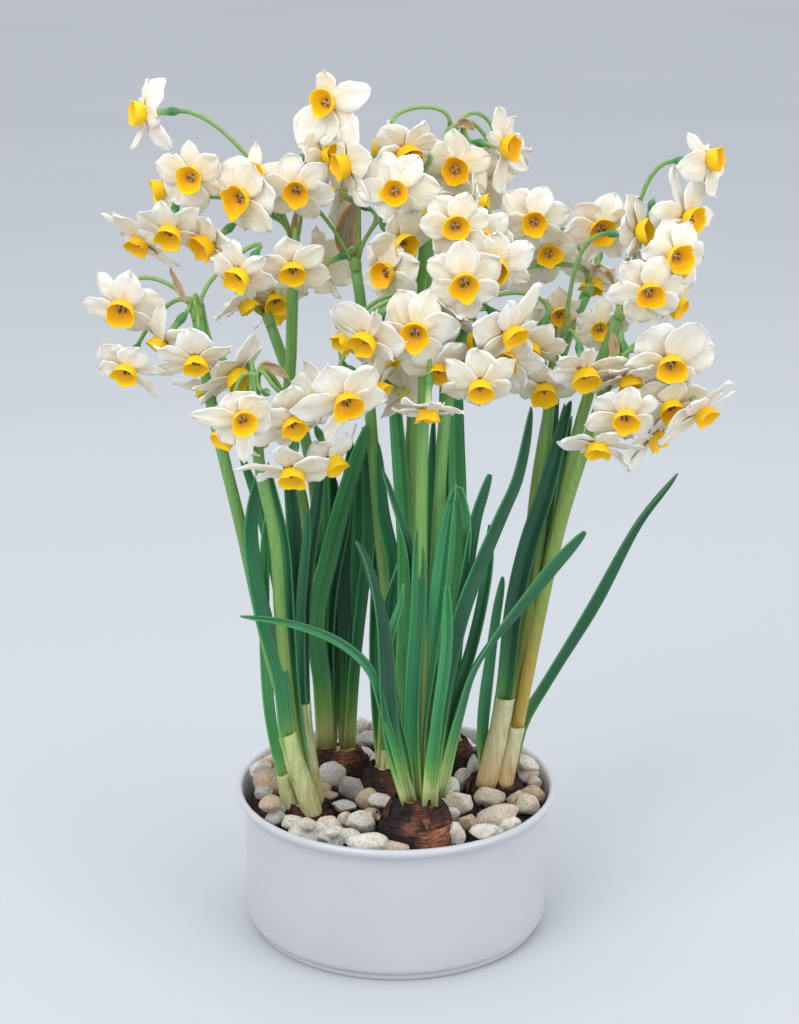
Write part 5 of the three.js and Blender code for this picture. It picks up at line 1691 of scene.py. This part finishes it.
# How single blooms stand and look in the photo: moved aside and up, faced another way, pushed back, another
# width, the torn tongue of a cup, and the turn from the top to the left, the forward bend, the length and the
# width of each tepal
FINE = {
    ("far_left", 1): {"move": (0, -2)},
    ("far_left", 2): {"move": (-2.5, -3), "tepals": [
        (32, -2, 1.0, 1.05), (88, -2, 0.8, 0.8), (140, -5, 0.7, 0.8),
        (212, -1, 1.1, 0.42), (268, 0, 1.05, 0.5), (330, -2, 1.0, 1.1)]},
    ("far_left", 3): {"move": (0, -4), "face": (-62, -45), "tepals": [
        (20, -6, 0.8, 0.8), (80, -4, 0.8, 0.9), (150, -5, 0.9, 0.9),
        (220, -9, 1.15, 0.8), (270, -9, 1.2, 0.8), (320, -9, 1.2, 0.75)]},
    ("far_left", 4): {"move": (1.5, -3), "tepals": [
        (5, -2, 1.05, 1.1), (65, -1, 1.15, 0.75), (118, 1, 1.35, 0.6),
        (180, -5, 0.5, 0.7), (238, -5, 0.65, 0.7), (300, -1, 1.15, 0.75)]},
    ("far_left", 5): {"move": (0, -1)},
    ("far_left", 6): {"move": (3, -2), "tepals": [
        (345, -4, 1.15, 0.8), (305, -5, 1.1, 0.7), (60, -2, 1.0, 0.9),
        (110, -3, 1.2, 0.6), (160, -2, 1.3, 0.6), (230, -5, 0.9, 0.9)]},
    ("low_left", 0): {"move": (-1, 5), "tepals": [
        (22, 1, 0.82, 1.15), (76, 0, 1.35, 0.85), (130, -2, 0.85, 0.9),
        (187, 1, 1.35, 0.75), (255, -2, 0.9, 1.0), (325, 1, 0.82, 1.15)]},
    ("low_left", 1): {"move": (0, 2)},
    ("low_left", 2): {"move": (1, -4), "tepals": [
        (8, -1, 1.15, 1.1), (60, 0, 1.0, 1.0), (105, 1, 1.25, 1.25),
        (165, -2, 0.9, 0.9), (240, -3, 0.8, 0.9), (305, -2, 1.0, 0.9)]},
    ("low_left", 4): {"move": (-1, -3), "tepals": [
        (2, 0, 1.2, 0.9), (72, 2, 1.45, 0.45), (106, 2, 1.05, 0.6),
        (180, -2, 0.8, 0.9), (245, -1, 0.85, 0.9), (308, 0, 1.3, 1.05)]},
    ("top_left", 0): {"move": (-0.5, 0), "face": (-66, 0), "tepals": [
        (335, -8, 1.0, 1.0), (35, -6, 1.0, 0.5), (95, -4, 1.0, 1.0),
        (165, 9, 1.05, 0.4), (215, -8, 1.1, 1.0), (275, -5, 0.8, 0.8)]},
    ("top_left", 1): {"move": (-0.5, 3.5)},
    ("top_left", 3): {"move": (-2.5, -3), "face": (0, 35), "wide": 40, "tepals": [
        (350, 0, 1.15, 0.5), (62, 0, 1.0, 1.1), (120, 0, 1.0, 1.0),
        (180, 0, 1.0, 1.0), (240, 0, 1.0, 1.0), (298, 0, 1.15, 1.1)]},
    ("top_left", 4): {"move": (-4, 1), "tongue": (-0.35, -0.1, -1.0), "tepals": [
        (5, 0, 1.0, 1.25), (325, 0, 1.0, 1.1), (275, 0, 1.05, 1.2),
        (225, 0, 1.15, 1.1), (180, -2, 0.9, 0.9), (80, -6, 0.6, 0.7)]},
    ("top_left", 6): {"move": (-2.5, -6)},
    ("top_left", 7): {"move": (-1, -4.5), "tepals": [
        (48, 1, 1.35, 0.42), (8, 0, 1.15, 1.0), (100, -3, 0.9, 0.9),
        (170, -3, 0.9, 0.9), (215, 0, 1.2, 0.9), (300, -2, 1.0, 0.9)]},
    ("top_left", 8): {"move": (-2, -4), "face": (-48, -25)},
    ("top_left", 9): {"move": (-1, -2.5)},
    ("mid_left", 0): {"move": (2, 5), "face": (10, -38)},
    ("mid_left", 1): {"move": (5, 0)},
    ("top_middle_left", 0): {"move": (0.5, 0), "face": (-24, 6), "wide": 47, "tepals": [
        (5, 0, 0.82, 0.72), (95, -7, 0.5, 0.5), (148, 1, 1.3, 1.0),
        (185, -2, 1.0, 0.9), (216, 1, 1.2, 1.0), (291, 1, 1.2, 0.95)]},
    ("top_middle_left", 1): {"move": (7.5, 0), "face": (58, 8), "tepals": [
        (60, -1, 1.15, 1.2), (100, -3, 1.1, 1.2), (150, -2, 1.2, 1.0),
        (205, 0, 1.15, 0.8), (260, 0, 0.9, 0.9), (345, -2, 0.9, 0.9)]},
    ("top_middle_left", 3): {"move": (2, -6)},
    ("top_middle", 0): {"move": (0, -4)},
    ("top_middle", 1): {"move": (1, 0), "tepals": [
        (358, 1, 1.15, 0.85), (58, 0, 1.1, 1.2), (120, -1, 1.1, 1.2),
        (180, -1, 1.0, 1.1), (235, 0, 1.0, 1.0), (300, -2, 1.0, 1.0)]},
    ("top_middle", 3): {"move": (-2, 1), "face": (54, -2), "tongue": (0.5, -0.3, -0.9), "tepals": [
        (14, 0, 1.15, 0.75), (58, 1, 1.0, 0.5), (328, 1, 0.9, 0.7),
        (275, 0, 0.95, 0.65), (232, 2, 1.15, 0.6), (176, 0, 1.25, 0.8)]},
    ("top_middle", 4): {"move": (-2, 6), "face": (28, -50), "push": 4, "wide": 36},
    ("upper_middle", 0): {"move": (-6.5, 0), "face": (-68, -8), "tepals": [
        (350, -3, 1.2, 1.1), (50, -2, 0.8, 0.8), (110, -3, 0.8, 0.8),
        (170, -2, 0.9, 0.9), (215, -2, 1.25, 1.0), (285, -4, 1.1, 1.2)]},
    ("upper_middle", 1): {"move": (-1.5, 1), "push": -14, "tepals": [
        (30, 0, 1.0, 1.1), (90, -1, 0.95, 0.9), (160, -2, 0.85, 0.9),
        (215, -3, 0.7, 0.8), (272, 0, 1.15, 1.1), (332, 0, 1.05, 1.1)]},
    ("upper_middle", 2): {"push": 24},
    ("upper_middle", 4): {"move": (2, 1), "push": 32},
    ("upper_middle", 6): {"move": (-0.5, 4), "push": -12, "wide": 38},
    ("centre", 0): {"move": (-3, 0), "face": (14, -22), "tepals": [
        (22, 0, 1.15, 1.3), (325, 0, 1.15, 1.15), (98, 1, 1.4, 0.9),
        (162, 2, 1.2, 0.6), (215, -3, 0.8, 0.8), (268, -2, 1.0, 1.0)]},
    ("centre", 2): {"move": (0, -3.5), "tepals": [
        (20, 0, 1.2, 1.3), (325, 1, 1.4, 0.5), (275, 0, 1.15, 1.1),
        (85, -3, 0.7, 0.7), (170, 2, 1.2, 0.4), (225, 0, 0.9, 0.9)]},
    ("centre", 3): {"move": (-2, 0), "push": -14, "tepals": [
        (10, -3, 0.9, 0.8), (70, -3, 0.7, 0.7), (130, -3, 0.7, 0.7),
        (190, -2, 0.9, 0.9), (250, -2, 0.9, 0.9), (310, -3, 0.9, 0.9)]},
    ("centre", 6): {"push": 12},
    ("right_of_centre", 1): {"move": (-4, 0)},
    ("right_of_centre", 3): {"tepals": [
        (325, -3, 1.35, 1.4), (20, -1, 1.1, 1.0), (80, -1, 1.2, 1.1),
        (140, 0, 1.0, 1.1), (200, -2, 0.9, 0.9), (262, 0, 1.0, 1.0)]},
    ("right_of_centre", 5): {"move": (-6.5, 6)},
    ("right_of_centre", 6): {"move": (2, 0), "push": 8},
    ("upper_right", 0): {"move": (0, -2.5)},
    ("upper_right", 1): {"move": (2, 4), "push": 14},
    ("upper_right", 4): {"move": (-1, 3), "push": 22},
    ("mid_right", 2): {"move": (-3, 0), "push": 26, "wide": 34},
    ("mid_right", 3): {"move": (-1, -1), "push": 22, "wide": 34},
    ("mid_right", 4): {"move": (2, 0), "tepals": [
        (44, 3, 1.4, 0.7), (4, 3, 1.4, 0.5), (284, 0, 1.25, 1.0),
        (90, -1, 0.9, 0.9), (160, -3, 0.8, 0.8), (235, -1, 1.0, 1.0)]},
    ("mid_right", 5): {"move": (1, -4), "face": (58, 8), "push": -4, "tepals": [
        (20, -3, 1.15, 1.1), (330, -3, 1.1, 1.1), (80, -3, 1.0, 1.0),
        (140, -2, 0.9, 0.9), (178, 2, 1.3, 0.28), (218, 3, 1.3, 0.32)]},
    ("far_right", 0): {"move": (2.5, 0), "face": (40, 0), "tepals": [
        (25, -1, 1.5, 0.38), (352, 3, 1.1, 1.0), (75, 0, 1.35, 0.85),
        (130, 0, 1.1, 1.1), (318, 2, 1.2, 0.35), (268, 0, 0.95, 0.7)]},
    ("far_right", 1): {"move": (-1.5, 0), "face": (62, 6), "tepals": [
        (48, -5, 1.15, 0.5), (92, -4, 1.25, 1.1), (150, -6, 0.6, 0.6),
        (195, 0, 1.0, 1.0), (235, 2, 0.85, 0.8), (345, -8, 0.4, 0.5)]},
    ("far_right", 3): {"move": (3, 0), "push": -12},
    ("far_right", 5): {"move": (5, 0), "push": -8},
    ("low_right", 0): {"move": (0, -6), "face": (4, -22), "wide": 52, "tepals": [
        (35, 0, 1.2, 1.3), (332, 0, 1.2, 1.3), (285, 0, 1.1, 1.0),
        (85, 0, 1.05, 1.0), (150, -3, 0.8, 1.0), (215, -3, 0.8, 1.0)]},
    ("low_right", 1): {"move": (1, -8), "face": (8, -32)},
    ("low_right", 2): {"push": 16},
    ("low_right", 3): {"move": (1.5, -4.5), "tepals": [
        (356, 2, 1.4, 0.5), (300, 0, 1.05, 0.32), (330, 0, 0.7, 0.3),
        (52, 0, 1.1, 0.9), (102, 0, 1.15, 1.1), (142, 1, 1.4, 0.8)]},
    ("low_right", 5): {"move": (2, 1), "tepals": [
        (20, -2, 0.9, 0.9), (75, -1, 1.2, 0.5), (125, 1, 1.2, 1.0),
        (165, 2, 1.3, 0.8), (235, -2, 0.8, 0.8), (310, -2, 0.9, 0.8)]},
    ("low_right", 6): {"move": (2, 1), "tepals": [
        (48, 2, 1.5, 0.55), (90, 0, 1.0, 1.0), (150, -2, 0.8, 0.8),
        (222, 3, 1.55, 0.3), (275, 1, 1.25, 0.8), (330, 0, 1.0, 0.8)]},
}


def tuned(umbel, one, stand, fine):
    """A bloom as the photo shows it, from where it settled: moved in view, turned and pushed back"""
    x, z, azimuth, elevation, diameter, _ = one[:6]
    (aside, above), (azimuth, elevation) = fine.get("move", (0, 0)), fine.get("face", (azimuth, elevation))
    changed = [x + aside, z + above, azimuth, elevation, fine.get("wide", diameter), 0]
    neck, up = neck_of(umbel)
    first = standing(neck, up, changed, 0)
    return standing(neck, up, changed, stand["middle"][1] + fine.get("push", 0) - first["middle"][1])


TEPALS = 6
LOOSE_WHERE_SET = 0.35


def tepal_looks(vary, swept, fine):
    """The turn, the forward bend, the length and the width of each of a bloom's tepals"""
    turn = vary(0, math.pi / 3)
    bends = [vary(-3, 2) for _ in range(TEPALS)]
    if "tepals" in fine:
        return [(math.radians(angle), bend, longer, wider) for angle, bend, longer, wider in fine["tepals"]]
    return [(turn + 2 * math.pi * k / TEPALS, bend + swept, 1, 1) for k, bend in enumerate(bends)]


# The dry bracts that show in view: their places from the foot to the tip, as seen, how far they stand in
# front of the neck, and how wide, hollow and turned they are. The other umbels have one beside their knob.
SPATHES = {
    "far_left": {
        "places": [[-128, 414], [-134, 425], [-138, 436]], "ahead": 4,
        "wide": 4.5, "boat": 1.2, "turn": 20,
    },
    "low_left": {
        "places": [[-84, 375], [-76, 373], [-67, 366]], "ahead": 8,
        "wide": 7, "boat": 2, "turn": 20,
    },
    "top_left": {
        "places": [[-62.6, 453], [-61.5, 463], [-59.8, 474]], "ahead": 6,
        "wide": 5, "boat": 1.5, "turn": -20,
    },
    "top_middle_left": {
        "places": [[-25.5, 440], [-30, 453], [-28, 466], [-23, 477]], "ahead": -4,
        "wide": 17, "boat": 6, "turn": 12,
    },
    "top_middle": {
        "places": [[36, 522], [41, 524], [47, 520]], "ahead": 8,
        "wide": 7, "boat": 2, "turn": 10,
    },
    "upper_middle": {
        "places": [[20, 469], [29, 477], [38, 481]], "ahead": 12,
        "wide": 6, "boat": 2, "turn": 15,
    },
    "centre": {
        "places": [[18, 411], [22, 417], [26, 419]], "ahead": 4,
        "wide": 7, "boat": 1.5, "turn": 0,
    },
    "upper_right": {
        "places": [[119, 428], [123, 436], [129, 433], [134, 425]], "ahead": 6,
        "wide": 5.5, "boat": 1, "turn": 15,
    },
}
# A bract beside its knob: its width and hollow, how far it leans out, and the heights of its places
BESIDE_KNOB = {"wide": 8, "boat": 2, "lean": 9, "heights": (-2, 8, 17)}
BRACT_STATIONS = 18
BRACT_ACROSS = 8
BRACT_THICKNESS = 0.35
BRACT_FOOT = 0.35
LEAST_BRACT = 0.08


def bract(target, places, wide, boat, turn, vary):
    """A dry bract: a thin sheet along its line, hollow like a boat, with a drawn-out tip"""
    middle = even(flowing(places), BRACT_STATIONS + 1)
    ways = ways_along(middle)
    phase, seed = vary(0, ANY_TURN), vary(0, 90)
    bm = fresh()
    for v, u, t in strip(bm, BRACT_ACROSS, BRACT_STATIONS):
        i = round(t * BRACT_STATIONS)
        face, side = turned_to_the_eye(ways[i], turn)
        spread = BRACT_FOOT + (1 - BRACT_FOOT) * math.sin(min(1.0, t / 0.5) * math.pi / 2)
        half = wide / 2 * max(LEAST_BRACT, spread * max(0.0, 1 - t**3) ** 0.7)
        crease = 0.5 * math.sin(u * 7 + t * 9 + phase) + 0.9 * rough(u * 2, t * 4, seed)
        hollow = boat * (1 - u * u) * half / wide * 2
        v.co = (Vector(middle[i]) + side * half * u + face * (crease - hollow)) * MM
    thickened(bm, BRACT_THICKNESS)
    added(target, bm, vary(0, 1))


def spathe(target, name, neck, up, vary):
    """An umbel's dry bract, where it shows in view or else beside the knob"""
    lean = np.array(Vector((vary(-1, 1), vary(-0.3, 1), 0)).normalized() * BESIDE_KNOB["lean"])
    turn = vary(-40, 40)
    if name in SPATHES:
        one = SPATHES[name]
        places = [seen(x, z, neck[1] - one["ahead"]) for x, z in one["places"]]
        bract(target, places, one["wide"], one["boat"], one["turn"], vary)
    else:
        places = [neck + up * h + lean * (i / 2) for i, h in enumerate(BESIDE_KNOB["heights"])]
        bract(target, places, BESIDE_KNOB["wide"], BESIDE_KNOB["boat"], turn, vary)


# The knob that ends a stem: the height from its neck, the radius and the mark
KNOB_ROWS = [
    (-6.3, 3.3, 0), (-4.4, 3.7, 0), (-1.5, 3.9, 0.05), (0.8, 3.6, 0.1), (2.4, 2.8, 0.1), (3.2, 1.4, 0.1),
]
KNOB_SIDES = 14


def umbel_shapes(name, umbel, standings, number, finishes):
    """All of one umbel. What differs from bloom to bloom is drawn apart from what differs inside a bloom"""
    vary = steady(1000 + 37 * number)
    small = steady(5000 + 91 * number)
    neck, up = neck_of(umbel)
    tepals, cups, middles, stalks, paper = fresh(), fresh(), fresh(), fresh(), fresh()
    spathe(paper, name, neck, up, vary)
    for place, stand in enumerate(standings):
        fine = FINE.get((name, place), {})
        if fine:
            stand = tuned(umbel, umbel["blooms"][place], stand, fine)
        looks = tepal_looks(vary, small(-5, 0.5), fine)
        loose = LOOSE_WHERE_SET if "tepals" in fine else 1
        for k, look in enumerate(looks):
            tepal(tepals, stand, look, k % 2 == 1, loose, small)
        cup(cups, stand, small, fine.get("tongue"))
        stamens(middles, stand, small)
        stalk(stalks, stand)
    for place in umbel.get("pods", []):
        pod(stalks, neck, up, place)
    stem(stalks, [(neck + up * h, r, at) for h, r, at in KNOB_ROWS], KNOB_SIDES)
    node = f"umbel_{name}"
    piece(f"tepals_{name}", tepals, finishes["tepal"], "tepal", node)
    piece(f"cups_{name}", cups, finishes["cup"], "tepal", node)
    piece(f"stamens_{name}", middles, finishes["anther"], "tepal", node)
    piece(f"stalks_{name}", stalks, finishes["stalk"], "leaf", node)
    piece(f"spathe_{name}", paper, finishes["spathe"], "tunic", node)


# Putting it together

SOIL_FINISH = soil_finish()
TUNIC_FINISH = tunic_finish()
FINISHES = {
    "leaf": leaf_finish(), "sheath": sheath_finish(), "scape": scape_finish(), "tepal": tepal_finish(),
    "cup": cup_finish(), "anther": anther_finish(), "stalk": stalk_finish(), "spathe": spathe_finish(),
}

bowl()
soil()
crumbs()
stones()
for bulb_name in BULBS:
    bulb(bulb_name)
    shoots(bulb_name, FINISHES)
STANDINGS = settled()
for umbel_number, (umbel_name, umbel_places) in enumerate(UMBELS.items()):
    umbel_shapes(umbel_name, umbel_places, STANDINGS[umbel_name], umbel_number, FINISHES)


# The floor, the light and the camera, in metres

FLOOR_SIZE = 60
MIDDLE = (0, 0, 0.28)
SENSOR_WIDTH = 36
FARTHEST_SEEN = 80
SKY_COLOUR = (0.95, 0.97, 1.0, 1)
SKY_STRENGTH = 0.91

floor_bm = bmesh.new()
bmesh.ops.create_grid(floor_bm, x_segments=1, y_segments=1, size=FLOOR_SIZE / 2)
floor_mesh = bpy.data.meshes.new("floor")
floor_bm.to_mesh(floor_mesh)
floor_bm.free()
floor_mesh.materials.append(floor_finish())
floor = in_scene("floor", floor_mesh)


def lamp(name, place, power, size):
    """A square soft light that looks at the middle of the plant"""
    light = bpy.data.lights.new(name, "AREA")
    light.shape = "RECTANGLE"
    light.energy, light.size, light.size_y = power, size, size
    made = in_scene(name, light)
    made.location = place
    made.rotation_euler = (Vector(MIDDLE) - Vector(place)).to_track_quat("-Z", "Y").to_euler()


lamp("key_light", (-1.3, -1.6, 2.1), 32, 1.6)
lamp("fill_light", (1.8, -1.3, 1.3), 18, 1.8)
lamp("top_light", (0.1, 0.3, 2.4), 14, 2.0)

world = bpy.data.worlds.new("studio")
world.use_nodes = True
world.node_tree.nodes["Background"].inputs["Color"].default_value = SKY_COLOUR
world.node_tree.nodes["Background"].inputs["Strength"].default_value = SKY_STRENGTH

camera = bpy.data.cameras.new("photo_camera")
camera.lens, camera.sensor_width, camera.sensor_fit = LENS, SENSOR_WIDTH, "AUTO"
camera.clip_end = FARTHEST_SEEN
camera_object = in_scene("photo_camera", camera)
camera_object.location = EYE * MM
camera_object.rotation_euler = (math.radians(90 - PITCH), 0, 0)

scene = bpy.context.scene
scene.world = world
scene.camera = camera_object
scene.view_settings.view_transform = "Standard"

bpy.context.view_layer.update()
